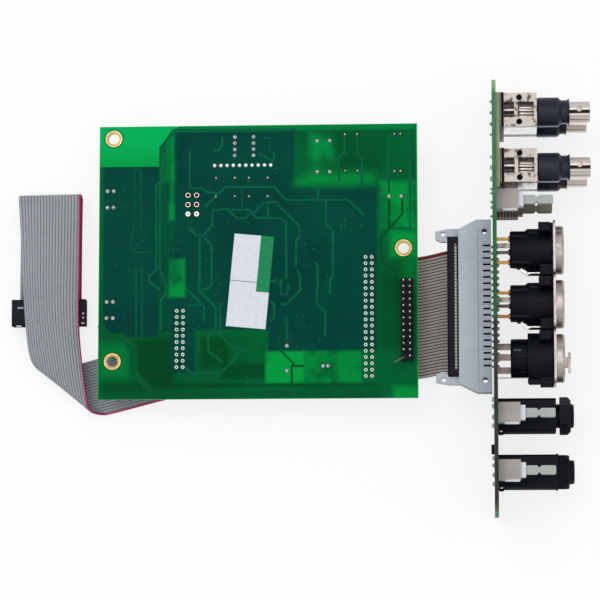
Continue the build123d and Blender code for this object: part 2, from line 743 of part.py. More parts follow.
# Flat cables: a flat strip is laid in the (s, t) plane and folded over bend lines.
# Each bend is (distance along the strip, turn in degrees, radius, skew of its line in degrees).
def folded(s, t, bends):
    """Where the point (s, t) of the flat strip comes to lie."""
    x, y, z = s, t, 0.0
    for at, turn, radius, skew in reversed(bends):
        nx = cos(radians(skew))
        ny = sin(radians(skew))
        reach = (s - at) * nx + t * ny
        if reach <= 0:
            continue
        angle = min(reach / radius, radians(abs(turn)))
        sign = 1 if turn > 0 else -1
        across = (x - at) * nx + y * ny - angle * radius
        along = -(x - at) * ny + y * nx
        height = z * sign - radius
        out = across * cos(angle) - height * sin(angle)
        rise = across * sin(angle) + height * cos(angle) + radius
        x = at + out * nx - along * ny
        y = out * ny + along * nx
        z = rise * sign
    return Vector(x, y, z)


def cable(stops, half_width, columns, where):
    """A closed strip of even thickness over the stops along a cable, where(s, t) being its middle."""
    ts = [half_width * (2 * i / columns - 1) for i in range(columns + 1)]
    step = 0.01
    upper = []
    lower = []
    for s in stops:
        for t in ts:
            middle = where(s, t)
            normal = (where(s + step, t) - where(s - step, t)).cross(where(s, t + step) - where(s, t - step))
            offset = normal.normalized() * (cable_thickness / 2)
            upper.append(middle + offset)
            lower.append(middle - offset)
    width = columns + 1
    last = (len(stops) - 1) * width
    faces = []

    def quad(a, b, c, d):
        faces.append(Face(Wire.make_polygon([a, b, c], close=True)))
        faces.append(Face(Wire.make_polygon([a, c, d], close=True)))

    for i in range(len(stops) - 1):
        for j in range(columns):
            k = i * width + j
            quad(upper[k], upper[k + width], upper[k + width + 1], upper[k + 1])
            quad(lower[k], lower[k + 1], lower[k + width + 1], lower[k + width])
        for k, flip in ((i * width, False), (i * width + columns, True)):
            rim = (upper[k], lower[k], lower[k + width], upper[k + width])
            quad(*(reversed(rim) if flip else rim))
    for j in range(columns):
        quad(upper[j], upper[j + 1], lower[j + 1], lower[j])
        k = last + j
        quad(upper[k], lower[k], lower[k + 1], upper[k + 1])
    return Solid(Shell(faces))


def stops_of(length, bends, half_width, straight=12.0, arc=0.8):
    """Stops along a strip, close together where it bends."""
    stops = {0.0, length}
    for at, turn, radius, skew in bends:
        margin = half_width * abs(tan(radians(skew)))
        span = radius * radians(abs(turn)) / cos(radians(skew)) + 2 * margin
        count = max(4, round(span / (arc * radius)))
        stops |= {at - margin + span * i / count for i in range(count + 1)}
    ordered = sorted(s for s in stops if 0 <= s <= length)
    filled = []
    for low, high in zip(ordered, ordered[1:]):
        parts = max(1, round((high - low) / straight))
        filled += [low + (high - low) * i / parts for i in range(parts)]
    return filled + [length]


# 40-way cable: level under the main board, then up through the panel board's ribbon socket
ribbon_40_half = header_40_rows * cable_pitch
rise_radius = 5.5
ribbon_40_start = header_40_centre[0] - plug_width / 2
ribbon_40_rise_x = ejector_floor + header_floor - cable_seat
ribbon_40_bends = [(ribbon_40_rise_x - rise_radius - ribbon_40_start, 90, rise_radius, 0.0)]
ribbon_40_length = (
    ribbon_40_bends[0][0] + rise_radius * pi / 2
    + middle_level + plug_width / 2 - ribbon_level - rise_radius
)
shift_from = plug_width + 1.0
shift_to = ribbon_40_bends[0][0] + rise_radius * pi / 2


def on_ribbon_40(s, t):
    """The middle of the 40-way cable, which drifts sideways between its two sockets."""
    part = min(max((s - shift_from) / (shift_to - shift_from), 0.0), 1.0)
    drift = (ejector_centre_y - header_40_centre[1]) * part
    start = Vector(ribbon_40_start, header_40_centre[1] + drift, ribbon_level)
    return start + folded(s, t, ribbon_40_bends)


nodes["ribbon_40"] = cable(
    stops_of(ribbon_40_length, ribbon_40_bends, 0.0), ribbon_40_half, 1, on_ribbon_40
)

# 20-way cable: out of its socket, back under itself, out at the left, over itself and under again
ribbon_20_half = header_20_rows * cable_pitch
low_level = 0.85
top_level = 9.4
end_radius = 1.2
ribbon_20_bends = [
    (28.3, -180, (ribbon_level - low_level) / 2, 7.8),
    (108.2, -180, (top_level - low_level) / 2, -38.5),
    (196.4, -180, (top_level - low_level) / 2, -1.2),
    (251.1, -90, end_radius, 0.0),
]
far_socket_bottom = low_level + end_radius + 0.1
ribbon_20_length = (
    ribbon_20_bends[3][0] + end_radius * pi / 2
    + far_socket_bottom + plug_width - low_level - end_radius
)
ribbon_20_start = Vector(header_20_centre[0] - plug_width / 2, header_20_centre[1], ribbon_level)
# The open loop pulls the strip narrower, and its upper run arches across its width
pinched = (55.0, 195.0, 0.1)
top_arch = (123.0, 196.0, 5.0)
fold_slope = 0.8


def hump(s, start, end):
    """A smooth rise from 0 to 1 and back between two places."""
    part = (s - start) / (end - start)
    return sin(pi * part) if 0 < part < 1 else 0.0


def on_ribbon_20(s, t):
    """The middle of the 20-way cable."""
    arch = top_arch[2] * hump(s, top_arch[0] + fold_slope * t, top_arch[1])
    narrow = 1 - pinched[2] * hump(s, pinched[0], pinched[1])
    rise = arch * (1 - (t / ribbon_20_half) ** 2)
    return ribbon_20_start + folded(s, t * narrow, ribbon_20_bends) + Vector(0, 0, rise)


nodes["ribbon_20"] = cable(
    stops_of(ribbon_20_length, ribbon_20_bends, ribbon_20_half), ribbon_20_half, 6, on_ribbon_20
)

# Ribbon socket on the far end, lying on its side with its open face to the south
end_middle = on_ribbon_20(ribbon_20_length, 0)
end_across = on_ribbon_20(ribbon_20_length, 1) - end_middle
end_normal = end_across.cross(Vector(0, 0, 1)).normalized()
if end_normal.Y < 0:
    end_normal = -end_normal
far_level = far_socket_bottom + plug_width / 2
far_origin = Vector(end_middle.X, end_middle.Y, far_level) - end_normal * cable_seat
far_seat = Plane(origin=far_origin, x_dir=end_normal.cross(Vector(0, 0, 1)), z_dir=end_normal).location
nodes["far_socket_body"] = far_seat * plug_body(header_20_rows)
nodes["far_socket_cover"] = far_seat * plug_cover(header_20_rows)

# The frame's origin is under the middle of everything but the free cable and the socket on it
free_cable = ("ribbon_20", "far_socket_body", "far_socket_cover")
boxes = [solid.bounding_box() for name, solid in nodes.items() if name not in free_cable]
middle_x = (min(b.min.X for b in boxes) + max(b.max.X for b in boxes)) / 2
middle_y = (min(b.min.Y for b in boxes) + max(b.max.Y for b in boxes)) / 2
lowest = min(b.min.Z for b in boxes)
home = Pos(-middle_x, -middle_y, -lowest)

os.makedirs("parts", exist_ok=True)
for name, solid in nodes.items():
    export_step(home * solid, f"parts/{name}.step")
print("origin in board measures", round(middle_x, 3), round(middle_y, 3), round(lowest, 3))
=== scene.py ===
"""Ad converter card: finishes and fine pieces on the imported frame, in metres, seen from above."""

from __future__ import annotations

import json
import logging
import math
from dataclasses import dataclass, field
from enum import Enum
from typing import Any, Iterable, Sequence

import bpy
from mathutils import Matrix, Vector


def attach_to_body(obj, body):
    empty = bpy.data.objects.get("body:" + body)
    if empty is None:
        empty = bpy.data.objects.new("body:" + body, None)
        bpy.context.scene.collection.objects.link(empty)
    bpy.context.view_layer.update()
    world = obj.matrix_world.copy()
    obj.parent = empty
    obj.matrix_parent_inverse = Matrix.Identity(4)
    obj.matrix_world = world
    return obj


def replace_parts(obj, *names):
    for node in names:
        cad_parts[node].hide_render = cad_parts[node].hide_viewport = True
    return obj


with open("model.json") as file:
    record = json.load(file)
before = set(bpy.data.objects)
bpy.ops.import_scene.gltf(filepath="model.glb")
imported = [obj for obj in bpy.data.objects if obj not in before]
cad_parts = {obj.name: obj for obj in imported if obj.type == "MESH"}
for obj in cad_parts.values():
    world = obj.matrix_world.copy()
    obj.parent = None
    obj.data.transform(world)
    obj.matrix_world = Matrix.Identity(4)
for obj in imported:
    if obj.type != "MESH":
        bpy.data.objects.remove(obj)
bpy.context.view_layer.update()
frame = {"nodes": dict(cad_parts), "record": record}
log = logging.getLogger("converter_card")

Pair = tuple[float, float]
Point = tuple[float, float, float]
Colour = tuple[float, float, float, float]
Line = Sequence[Pair]

# Board millimetres start at the main board's lower left corner, with heights from the floor.
# The frame's origin lies at SHIFT. Rows are the sockets' axes along the card's width.
MM = 0.001
SHIFT = (99.2, 38.4)
BOARD_TOP = 18.1
PITCH = 2.54
MOUNTING_HOLES = ((5.8, 106.6), (5.8, 15.4), (123.5, 60.7))
PHONO_ROWS = (112.6, 90.2)
MALE_ROWS = (58.5, 36.75)
BODY = "card"


def linear(value: float) -> float:
    """A channel from 0 to 255 as a linear share."""
    v = value / 255
    return v / 12.92 if v <= 0.04045 else ((v + 0.055) / 1.055) ** 2.4


def tone(red: float, green: float, blue: float) -> Colour:
    """A colour from 0 to 255 as linear RGBA."""
    return (linear(red), linear(green), linear(blue), 1.0)


def lit(colour: Colour, share: float) -> Colour:
    """A colour made darker or lighter by a share."""
    return (*(min(1.0, part * share) for part in colour[:3]), 1.0)


def spot(x: float, y: float, z: float) -> Vector:
    """A place in board millimetres as a point of the row frame in metres."""
    return Vector(((x - SHIFT[0]) * MM, (y - SHIFT[1]) * MM, z * MM))


def spread(count: int, step: float, centre: float = 0.0) -> list[float]:
    """Evenly spaced values about a centre."""
    return [centre + (i - (count - 1) / 2) * step for i in range(count)]


class Sock:
    """A shader socket that takes part in Python sums."""

    def __init__(self, shader: Shader, out: Any) -> None:
        """Keep the shader and its socket."""
        self.shader = shader
        self.out = out

    def _sum(self, kind: str, *terms: Any) -> Sock:
        """A Math node on values and sockets."""
        return self.shader.node("ShaderNodeMath", {"operation": kind}, dict(enumerate(terms)))[0]

    def __add__(self, other: Any) -> Sock:
        """self + other."""
        return self._sum("ADD", self, other)

    def __radd__(self, other: Any) -> Sock:
        """other + self."""
        return self._sum("ADD", other, self)

    def __sub__(self, other: Any) -> Sock:
        """self - other."""
        return self._sum("SUBTRACT", self, other)

    def __rsub__(self, other: Any) -> Sock:
        """other - self."""
        return self._sum("SUBTRACT", other, self)

    def __mul__(self, other: Any) -> Sock:
        """self * other."""
        return self._sum("MULTIPLY", self, other)

    def __rmul__(self, other: Any) -> Sock:
        """other * self."""
        return self._sum("MULTIPLY", other, self)

    def __abs__(self) -> Sock:
        """The absolute value."""
        return self._sum("ABSOLUTE", self)

    def least(self, other: Any) -> Sock:
        """The smaller of the two."""
        return self._sum("MINIMUM", self, other)

    def most(self, other: Any) -> Sock:
        """The larger of the two."""
        return self._sum("MAXIMUM", self, other)

    def root(self) -> Sock:
        """The square root."""
        return self._sum("SQRT", self)

    def wave(self) -> Sock:
        """The sine."""
        return self._sum("SINE", self)

    def step(self, low: float, high: float) -> Sock:
        """0 below low, 1 above high, smooth between."""
        values = {"Value": self, "From Min": low, "From Max": high}
        return self.shader.node("ShaderNodeMapRange", {"interpolation_type": "SMOOTHSTEP"}, values)[0]

    def below(self, low: float, high: float) -> Sock:
        """1 below low, 0 above high, smooth between."""
        return 1.0 - self.step(low, high)

    def near(self, centre: float, full: float, gone: float) -> Sock:
        """1 within a distance of a value, smooth down to 0 at a wider one."""
        return abs(self - centre).below(full, gone)


class Shader:
    """One material and the tools that build its nodes."""

    def __init__(self, name: str) -> None:
        """Start an empty material.

        Args:
            name: its name.
        """
        self.material = bpy.data.materials.new(name)
        self.material.use_nodes = True
        self.tree = self.material.node_tree
        self.surface = self.tree.nodes["Principled BSDF"]

    def node(
        self, kind: str, settings: dict[str, Any] | None = None, values: dict[Any, Any] | None = None
    ) -> list[Sock]:
        """Add a node.

        Args:
            kind: the node's type.
            settings: its own settings, set first.
            values: numbers, colours or sockets for its inputs, by name or place.

        Returns:
            Its outputs that are switched on.
        """
        node = self.tree.nodes.new(kind)
        for key, value in (settings or {}).items():
            setattr(node, key, value)
        live = [s for s in node.inputs if s.enabled]
        for key, value in (values or {}).items():
            target = live[key] if isinstance(key, int) else next(s for s in live if s.name == key)
            self.feed(target, value)
        return [Sock(self, s) for s in node.outputs if s.enabled]

    def feed(self, target: Any, value: Any) -> None:
        """Link a socket or write a plain value to an input.

        Args:
            target: the input.
            value: the socket or the plain value.
        """
        if isinstance(value, Sock):
            self.tree.links.new(value.out, target)
        else:
            target.default_value = value

    def place(self) -> Sock:
        """Object coordinates in metres."""
        return self.node("ShaderNodeTexCoord")[3]

    def parts(self, vector: Sock) -> list[Sock]:
        """A vector's three numbers."""
        return self.node("ShaderNodeSeparateXYZ", None, {0: vector})

    def normal(self) -> list[Sock]:
        """The surface normal's three numbers."""
        return self.parts(self.node("ShaderNodeNewGeometry")[1])

    def board_mm(self) -> list[Sock]:
        """Board millimetres along x, y and z."""
        x, y, z = self.parts(self.place())
        return [x * 1000.0 + SHIFT[0], y * 1000.0 + SHIFT[1], z * 1000.0]

    def nearest(self, x: Sock, y: Sock, places: Line) -> Sock:
        """Distance from the nearest of some places.

        Args:
            x: the place along x.
            y: the place along y.
            places: the places, in the unit of x and y.

        Returns:
            The distance in that unit.
        """
        gaps = [((x - px) * (x - px) + (y - py) * (y - py)).root() for px, py in places]
        gap = gaps[0]
        for other in gaps[1:]:
            gap = gap.least(other)
        return gap

    def noise(self, scale: float, detail: float = 3.0, stretch: Point = (1, 1, 1)) -> Sock:
        """Noise on object coordinates.

        Args:
            scale: how fine it is.
            detail: how many finer layers it has.
            stretch: the scale along each axis.

        Returns:
            A value from 0 to 1.
        """
        where = self.node("ShaderNodeMapping", None, {"Vector": self.place(), "Scale": stretch})[0]
        values = {"Vector": where, "Scale": scale, "Detail": detail, "Roughness": 0.55}
        return self.node("ShaderNodeTexNoise", None, values)[0]

    def mix(self, factor: Any, first: Any, second: Any) -> Sock:
        """Blend two colours."""
        return self.node("ShaderNodeMix", {"data_type": "RGBA"}, {0: factor, 1: first, 2: second})[0]

    def cloudy(self, cloud: Sock, first: Any, second: Any) -> Sock:
        """Blend two colours over the middle range of a noise."""
        return self.mix(cloud.step(0.3, 0.7), first, second)

    def bump(self, height: Sock, distance: float = 0.00001) -> Sock:
        """A normal from a height between 0 and 1 over a distance in metres."""
        return self.node("ShaderNodeBump", None, {"Strength": 1.0, "Distance": distance, "Height": height})[0]

    def finish(self, **inputs: Any) -> bpy.types.Material:
        """Set the surface's inputs.

        Args:
            inputs: values or sockets by the input's name, underscores standing for spaces.

        Returns:
            The material.
        """
        for key, value in inputs.items():
            self.feed(self.surface.inputs[key.replace("_", " ")], value)
        return self.material


@dataclass(frozen=True)
class Plastic:
    """A moulded plastic with fine grain and faint mottling, duller on its upright faces."""

    name: str
    colour: Colour
    rough: float = 0.45
    vary: float = 0.12
    gloss: float = 0.3

    def make(self) -> bpy.types.Material:
        """Build the material.

        Returns:
            The material.
        """
        shader = Shader(self.name)
        dark = lit(self.colour, 1 - self.vary)
        light = lit(self.colour, 1 + self.vary)
        upright = 1.0 - abs(shader.normal()[2]).step(0.15, 0.5)
        rough = shader.noise(400.0) * 0.16 + (self.rough - 0.08) + upright * (0.9 - self.rough)
        return shader.finish(
            Base_Color=shader.cloudy(shader.noise(90.0, 4.0), dark, light), Roughness=rough,
            Specular_IOR_Level=self.gloss, Normal=shader.bump(shader.noise(4000.0, 2.0)),
        )


@dataclass(frozen=True)
class Metal:
    """A plated metal with soft streaks and small marks."""

    name: str
    colour: Colour
    rough: float = 0.25
    stain: Colour = (0.25, 0.20, 0.15, 1.0)
    streak: Point = (1, 1, 1)
    wear: float = 0.35
    scale: float = 260.0

    def make(self) -> bpy.types.Material:
        """Build the material.

        Returns:
            The material.
        """
        shader = Shader(self.name)
        marks = shader.noise(self.scale, 5.0, self.streak)
        return shader.finish(
            Base_Color=shader.mix(marks.step(0.45, 0.72) * self.wear, self.colour, self.stain), Metallic=1.0,
            Roughness=shader.noise(700.0, 3.0, self.streak) * 0.2 + (self.rough - 0.08),
            Normal=shader.bump(shader.noise(1500.0, 2.0, self.streak)),
        )


@dataclass(frozen=True)
class Patch:
    """A soft-edged area of the main board, in board millimetres."""

    left: float
    low: float
    right: float
    high: float
    soft: float = 0.6
    level: float = 1.0
    mottle: float = 0.0
    lean: float = 0.0
    lean_from: float = 0.0

    def mask(self, x: Sock, y: Sock, cloud: Sock) -> Sock:
        """1 inside the area and 0 outside it; its right edge leans above a height.

        Args:
            x: board millimetres along x.
            y: board millimetres along y.
            cloud: noise from 0 to 1 that breaks up a mottled area.

        Returns:
            The mask.
        """
        right = x - self.right
        if self.lean:
            right = right - (y - self.lean_from).most(0.0) * self.lean
        across = (self.left - x).most(right)
        along = (self.low - y).most(y - self.high)
        inside = across.most(along).below(-self.soft, self.soft) * self.level
        return inside * (cloud * self.mottle + (1.0 - self.mottle)) if self.mottle else inside


def covered(patches: Sequence[Patch], x: Sock, y: Sock, cloud: Sock) -> Sock:
    """The highest of some areas' masks.

    Args:
        patches: the areas.
        x: board millimetres along x.
        y: board millimetres along y.
        cloud: noise from 0 to 1 that breaks up a mottled area.

    Returns:
        The mask.
    """
    mask = patches[0].mask(x, y, cloud)
    for patch in patches[1:]:
        mask = mask.most(patch.mask(x, y, cloud))
    return mask


@dataclass(frozen=True)
class Board:
    """The main board's areas, tented vias and tracks in board millimetres, and its mask.

    Dark areas are teal, deep ones dark green, and bright ones and the edge strips light green. A
    track is a list of its corners.
    """

    dark: tuple[Patch, ...] = (
        Patch(1.9, 25.0, 24.3, 94.9, 0.4), Patch(30.6, 28.0, 79.4, 109.0, 0.6),
        Patch(69.0, 19.2, 112.8, 84.6, 0.6), Patch(29.4, 10.6, 39.2, 40.8, 0.8),
        Patch(75.0, 80.0, 112.8, 88.0, 0.8), Patch(23.8, 27.0, 31.0, 88.0, 0.6, 0.7),
    )
    bright: tuple[Patch, ...] = (
        Patch(0.0, 95.0, 24.4, 111.8, 0.15, lean=0.95, lean_from=103.2),
        Patch(28.6, 73.0, 30.7, 79.5, 0.9, 0.72), Patch(28.8, 78.0, 30.5, 97.0, 0.9, 0.42),
        Patch(28.8, 89.5, 30.5, 96.5, 1.6, 0.75), Patch(28.8, 96.5, 30.5, 107.0, 0.7, 0.4),
        Patch(28.6, 41.5, 35.2, 57.0, 0.9, 0.8, 0.6), Patch(85.6, 91.0, 95.5, 108.0, 2.6, 0.48, 0.85),
        Patch(114.0, 68.5, 128.8, 88.2, 1.5, 0.85, 0.75), Patch(118.4, 57.2, 129.0, 67.6, 2.4, 0.95),
        Patch(67.8, 6.4, 83.5, 19.0, 0.8, 1.0, 0.35), Patch(82.0, 6.4, 106.5, 19.0, 1.0, 0.62, 0.95),
        Patch(123.6, 42.0, 129.0, 58.0, 3.0, 0.32), Patch(119.3, -1.0, 129.4, 4.6, 1.6, 0.8),
        Patch(79.2, 86.0, 112.0, 92.0, 2.5, 0.6, 0.9), Patch(0.6, 8.6, 11.6, 22.0, 4.0, 0.4),
        Patch(24.0, 109.3, 128.0, 112.0, 0.6, 0.3),
    )
    edge_strip: tuple[Patch, ...] = (
        Patch(-1.0, -1.0, 0.35, 112.0, 0.15), Patch(128.8, -1.0, 130.0, 112.0, 0.3),
        Patch(25.6, 89.0, 30.6, 108.0, 1.4, 0.25), Patch(-1.0, 111.2, 130.0, 112.0, 0.3, 0.7),
    )
    deep: tuple[Patch, ...] = (
        Patch(15.0, 4.0, 31.0, 25.0, 2.4, 0.9), Patch(41.5, 12.5, 53.0, 25.0, 1.6, 0.75),
        Patch(50.0, 8.0, 68.0, 14.5, 1.6, 0.8), Patch(12.0, 4.6, 60.0, 6.4, 0.7, 0.8),
        Patch(1.5, 2.5, 18.0, 9.0, 2.5, 0.7), Patch(60.0, 4.6, 113.0, 6.2, 0.7, 0.6),
        Patch(113.5, 20.0, 127.0, 50.0, 3.0, 0.5), Patch(97.0, 92.0, 114.0, 108.0, 5.0, 0.35),
    )
    vias: Line = (
        (98.5, 78.5), (102.7, 74.0), (106.4, 70.0), (98.5, 72.0), (99.8, 72.0), (98.5, 70.3), (99.8, 70.3),
        (98.5, 69.0), (100.3, 68.9), (84.5, 69.5), (82.3, 67.8), (85.4, 66.4), (81.0, 64.2), (83.6, 62.5),
        (88.0, 64.2), (91.9, 66.3), (93.3, 64.1), (84.5, 58.9), (87.1, 60.6), (83.2, 54.0), (85.4, 53.6),
        (88.0, 50.0), (92.8, 49.1), (80.1, 50.1), (81.0, 46.6), (84.5, 46.5), (92.4, 46.5), (80.5, 33.4),
        (83.2, 33.8), (85.3, 33.3), (80.1, 29.4), (81.8, 29.8), (86.2, 29.4), (77.5, 25.5), (77.0, 23.3),
        (80.5, 21.1), (83.2, 20.1), (87.1, 20.6), (94.1, 21.8), (98.4, 21.8), (89.7, 23.6), (7.0, 54.7),
        (9.7, 54.7), (12.4, 52.0), (14.1, 49.8), (10.3, 85.0), (10.4, 78.3), (10.7, 39.6), (10.7, 33.0),
        (15.2, 93.8), (16.9, 93.8), (16.2, 24.6), (17.4, 24.6), (17.6, 64.8), (18.9, 66.6), (16.0, 63.1),
        (26.9, 60.9), (28.6, 60.9), (30.4, 60.9), (32.1, 60.9), (27.3, 59.4), (28.2, 56.8), (31.7, 64.3),
        (44.0, 66.4), (44.5, 63.7), (44.5, 61.0), (44.1, 56.6), (44.5, 51.3), (48.5, 50.4), (49.4, 46.8),
        (48.5, 42.9), (47.6, 42.0), (47.1, 69.9), (47.1, 64.6), (46.2, 61.0), (60.8, 71.5), (52.4, 71.6),
        (44.4, 86.6), (72.2, 93.7), (71.7, 91.9), (64.3, 78.9), (59.8, 109.9), (41.1, 35.4), (41.4, 32.8),
        (41.1, 29.3), (41.1, 24.0), (41.1, 21.3), (41.1, 19.6), (50.4, 19.5), (50.3, 32.7), (50.3, 38.4),
        (55.6, 13.3), (60.5, 8.9), (47.3, 8.6), (53.4, 27.4), (60.0, 19.4), (64.4, 20.3), (68.7, 21.1),
        (98.5, 58.8), (98.5, 40.2),
    )
    wide_tracks: tuple[Line, ...] = (
        (
            (1.2, 30.4), (1.9, 27.7), (5.1, 25.6), (9.9, 25.5), (14.3, 20.6), (14.4, 11.0), (22.8, 2.1),
            (114.1, 1.6),
        ),
    )
    main_tracks: tuple[Line, ...] = (
        (
            (30.1, 110.2), (25.7, 103.6), (24.9, 88.8), (23.2, 87.5), (23.4, 52.4), (20.5, 50.2),
            (20.5, 48.0), (24.9, 44.4),
        ),
        ((30.1, 110.0), (80.1, 109.5)),
        (
            (26.6, 104.9), (26.7, 88.8), (24.7, 87.5), (24.9, 52.4), (27.4, 47.0), (27.4, 42.6),
            (25.2, 40.0), (25.3, 28.1),
        ),
        ((43.1, 78.4), (51.5, 86.3), (71.3, 86.1), (76.1, 80.7), (101.2, 80.5), (107.7, 74.2)),
        ((36.8, 101.2), (36.9, 86.0), (42.2, 85.8), (44.0, 84.2), (47.0, 84.1), (48.4, 82.8)),
        ((92.2, 80.1), (92.2, 71.2), (95.0, 68.1), (95.0, 49.5), (93.9, 48.2), (93.9, 42.0)),
        ((89.1, 85.0), (89.1, 80.8)),
        (
            (36.5, 70.0), (39.2, 66.9), (42.3, 66.4), (46.2, 70.8), (46.2, 76.6), (51.0, 77.4),
            (53.7, 76.9), (61.2, 76.9), (63.4, 73.7), (73.9, 73.2), (76.1, 71.4), (76.2, 48.4),
        ),
        ((52.8, 76.5), (56.3, 73.4), (59.4, 73.3), (61.2, 75.1)),
        (
            (62.9, 75.5), (66.9, 79.5), (72.2, 79.9), (74.8, 76.7), (81.4, 70.0), (81.4, 65.6),
            (80.1, 64.2), (80.1, 53.6),
        ),
        ((68.7, 78.6), (68.7, 74.1)),
        (
            (41.0, 65.5), (41.0, 47.8), (40.6, 44.3), (47.7, 37.1), (47.7, 28.3), (44.6, 25.3),
            (44.7, 19.6), (50.4, 14.7),
        ),
        ((42.7, 65.9), (45.8, 62.8), (45.9, 46.9), (44.6, 44.7), (41.5, 44.7)),
        ((35.3, 45.2), (42.8, 37.6), (42.9, 31.4)),
        (
            (49.4, 38.9), (49.5, 25.7), (54.7, 20.8), (59.1, 19.9), (56.5, 18.6), (55.6, 16.0),
            (49.5, 10.3), (38.1, 10.4), (35.5, 12.6),
        ),
        ((71.3, 48.4), (74.0, 46.6), (74.0, 42.2), (76.2, 42.2), (77.0, 44.0), (77.0, 46.6)),
        ((81.0, 51.9), (81.8, 48.3), (81.8, 43.9), (76.2, 38.2), (74.0, 38.2)),
        ((88.4, 55.3), (88.9, 51.8), (88.9, 48.3), (88.4, 38.6), (91.9, 35.0), (91.9, 24.9)),
        ((75.7, 32.5), (76.4, 30.3), (76.4, 23.7)),
        ((50.1, 106.9), (50.1, 103.7), (48.8, 101.5), (46.5, 101.5)),
        ((71.3, 99.9), (71.3, 97.7), (70.4, 96.8), (65.1, 100.0)),
        ((99.9, 106.7), (99.9, 100.0), (97.3, 97.8), (97.2, 93.4), (97.7, 88.0)),
        ((104.9, 107.1), (104.9, 99.5), (106.9, 97.3), (106.9, 86.2)),
        ((119.2, 107.4), (117.5, 105.6), (117.4, 89.6), (117.8, 83.4)),
        ((126.3, 108.2), (126.1, 68.7), (118.7, 68.8)), ((68.7, 47.5), (74.4, 47.5)),
        ((70.0, 39.6), (71.3, 37.8), (71.3, 33.4), (70.0, 31.2)),
    )
    thin_tracks: tuple[Line, ...] = (
        ((14.3, 93.8), (14.4, 70.2), (13.2, 64.9), (13.2, 61.3), (15.4, 59.8), (22.0, 59.8)),
        ((16.9, 93.8), (17.1, 69.7)), ((15.2, 52.5), (15.4, 24.6)), ((17.6, 54.6), (17.8, 24.6)),
        ((35.4, 38.1), (42.4, 38.1)), ((66.4, 106.2), (69.5, 106.2), (69.5, 100.8), (71.3, 99.9)),
        ((58.1, 85.3), (58.1, 77.8)), ((60.7, 89.3), (60.7, 86.7)),
        ((113.2, 19.9), (118.5, 19.9), (116.7, 16.4), (118.5, 13.8), (118.4, 5.9)),
    )
    shadow_tracks: tuple[Line, ...] = (
        ((74.4, 27.7), (73.1, 25.1), (73.1, 20.2), (79.2, 14.0), (78.4, 13.2), (78.4, 5.3)),
        ((78.4, 13.2), (83.2, 13.1)),
        ((123.1, 80.7), (123.1, 74.5), (114.3, 64.8), (114.2, 56.0), (120.3, 50.6), (120.3, 42.7)),
        ((117.8, 80.7), (117.8, 69.2)),
    )
    # painted highlight: over this span of y the bright areas turn lighter towards the board's top
    lighter: Pair = (92.0, 106.0)
    ring_shadow: float = 3.75
    weave: float = 9.0

    def mask_material(self) -> bpy.types.Material:
        """Green solder mask over copper areas, with pale bare laminate at the cut edges.

        Returns:
            The material.
        """
        shader = Shader("solder_mask")
        x, y, _ = shader.board_mm()
        mottling = shader.noise(75.0).step(0.4, 0.58)
        cloud = shader.noise(45.0, 2.0)
        colour = shader.mix(cloud.step(0.35, 0.65), tone(0, 82, 42), tone(0, 92, 48))
        colour = shader.mix(covered(self.deep, x, y, mottling), colour, tone(0, 62, 26))
        teal = shader.cloudy(cloud, tone(0, 58, 52), tone(0, 68, 54))
        colour = shader.mix(covered(self.dark, x, y, mottling), colour, teal)
        # painted highlight: the bright areas are coloured lighter towards the board's top edge
        sunny = shader.mix(y.step(*self.lighter), tone(0, 146, 60), tone(0, 168, 86))
        colour = shader.mix(covered(self.bright + self.edge_strip, x, y, mottling), colour, sunny)
        shadow = shader.nearest(x, y, MOUNTING_HOLES).near(self.ring_shadow, 0.08, 0.36)
        colour = shader.mix(shadow * 0.7, colour, tone(0, 66, 22))
        colour = shader.mix(shader.normal()[2].below(0.4, 0.8), colour, tone(96, 170, 104))
        weave = (x * self.weave).wave() * (y * self.weave).wave()
        return shader.finish(
            Base_Color=colour, Roughness=shader.noise(300.0) * 0.12 + 0.28,
            Normal=shader.bump(weave + cloud, 0.000006), Specular_IOR_Level=0.015,
        )


class Slot(Enum):
    """The record's material slots."""

    BOARD = "board"
    COPPER = "copper"
    PAPER = "paper"
    SOLDER = "solder"
    BLACK = "black_plastic"
    GOLD = "gold_pins"
    CABLE = "grey_cable"
    SLEEVE = "can_sleeve"
    FILM = "film_box"
    NETWORK = "network"
    CAN = "metal_can"
    GREY = "grey_plastic"
    WHITE = "white_plastic"
    NICKEL = "nickel"
    TIN = "tin"


def clear() -> None:
    """Leave edit mode and deselect all."""
    if bpy.context.object and bpy.context.object.mode != "OBJECT":
        bpy.ops.object.mode_set(mode="OBJECT")
    bpy.ops.object.select_all(action="DESELECT")


def pick(obj: bpy.types.Object) -> None:
    """Select one object and make it active.

    Args:
        obj: the object.
    """
    clear()
    obj.select_set(True)
    bpy.context.view_layer.objects.active = obj


def joined(parts: Sequence[bpy.types.Object]) -> bpy.types.Object:
    """Join shapes into one.

    Args:
        parts: the shapes.

    Returns:
        The first of them, with the others in it.
    """
    clear()
    for part in parts:
        part.select_set(True)
    bpy.context.view_layer.objects.active = parts[0]
    if len(parts) > 1:
        bpy.ops.object.join()
    return parts[0]


def settle(obj: bpy.types.Object, name: str, angle: float = 35.0) -> bpy.types.Object:
    """Name an object, write its place into its mesh and smooth it by angle.

    Args:
        obj: the object.
        name: its new name.
        angle: the smoothing angle in degrees.

    Returns:
        The object.
    """
    pick(obj)
    bpy.ops.object.transform_apply(location=True, rotation=True, scale=True)
    bpy.ops.object.mode_set(mode="EDIT")
    bpy.ops.mesh.select_all(action="SELECT")
    bpy.ops.mesh.normals_make_consistent(inside=False)
    bpy.ops.object.mode_set(mode="OBJECT")
    bpy.ops.object.shade_smooth_by_angle(angle=math.radians(angle))
    obj.name = name
    obj.data.name = name
    return obj


def wear(obj: bpy.types.Object, material: bpy.types.Material) -> None:
    """Give an object one material."""
    obj.data.materials.clear()
    obj.data.materials.append(material)


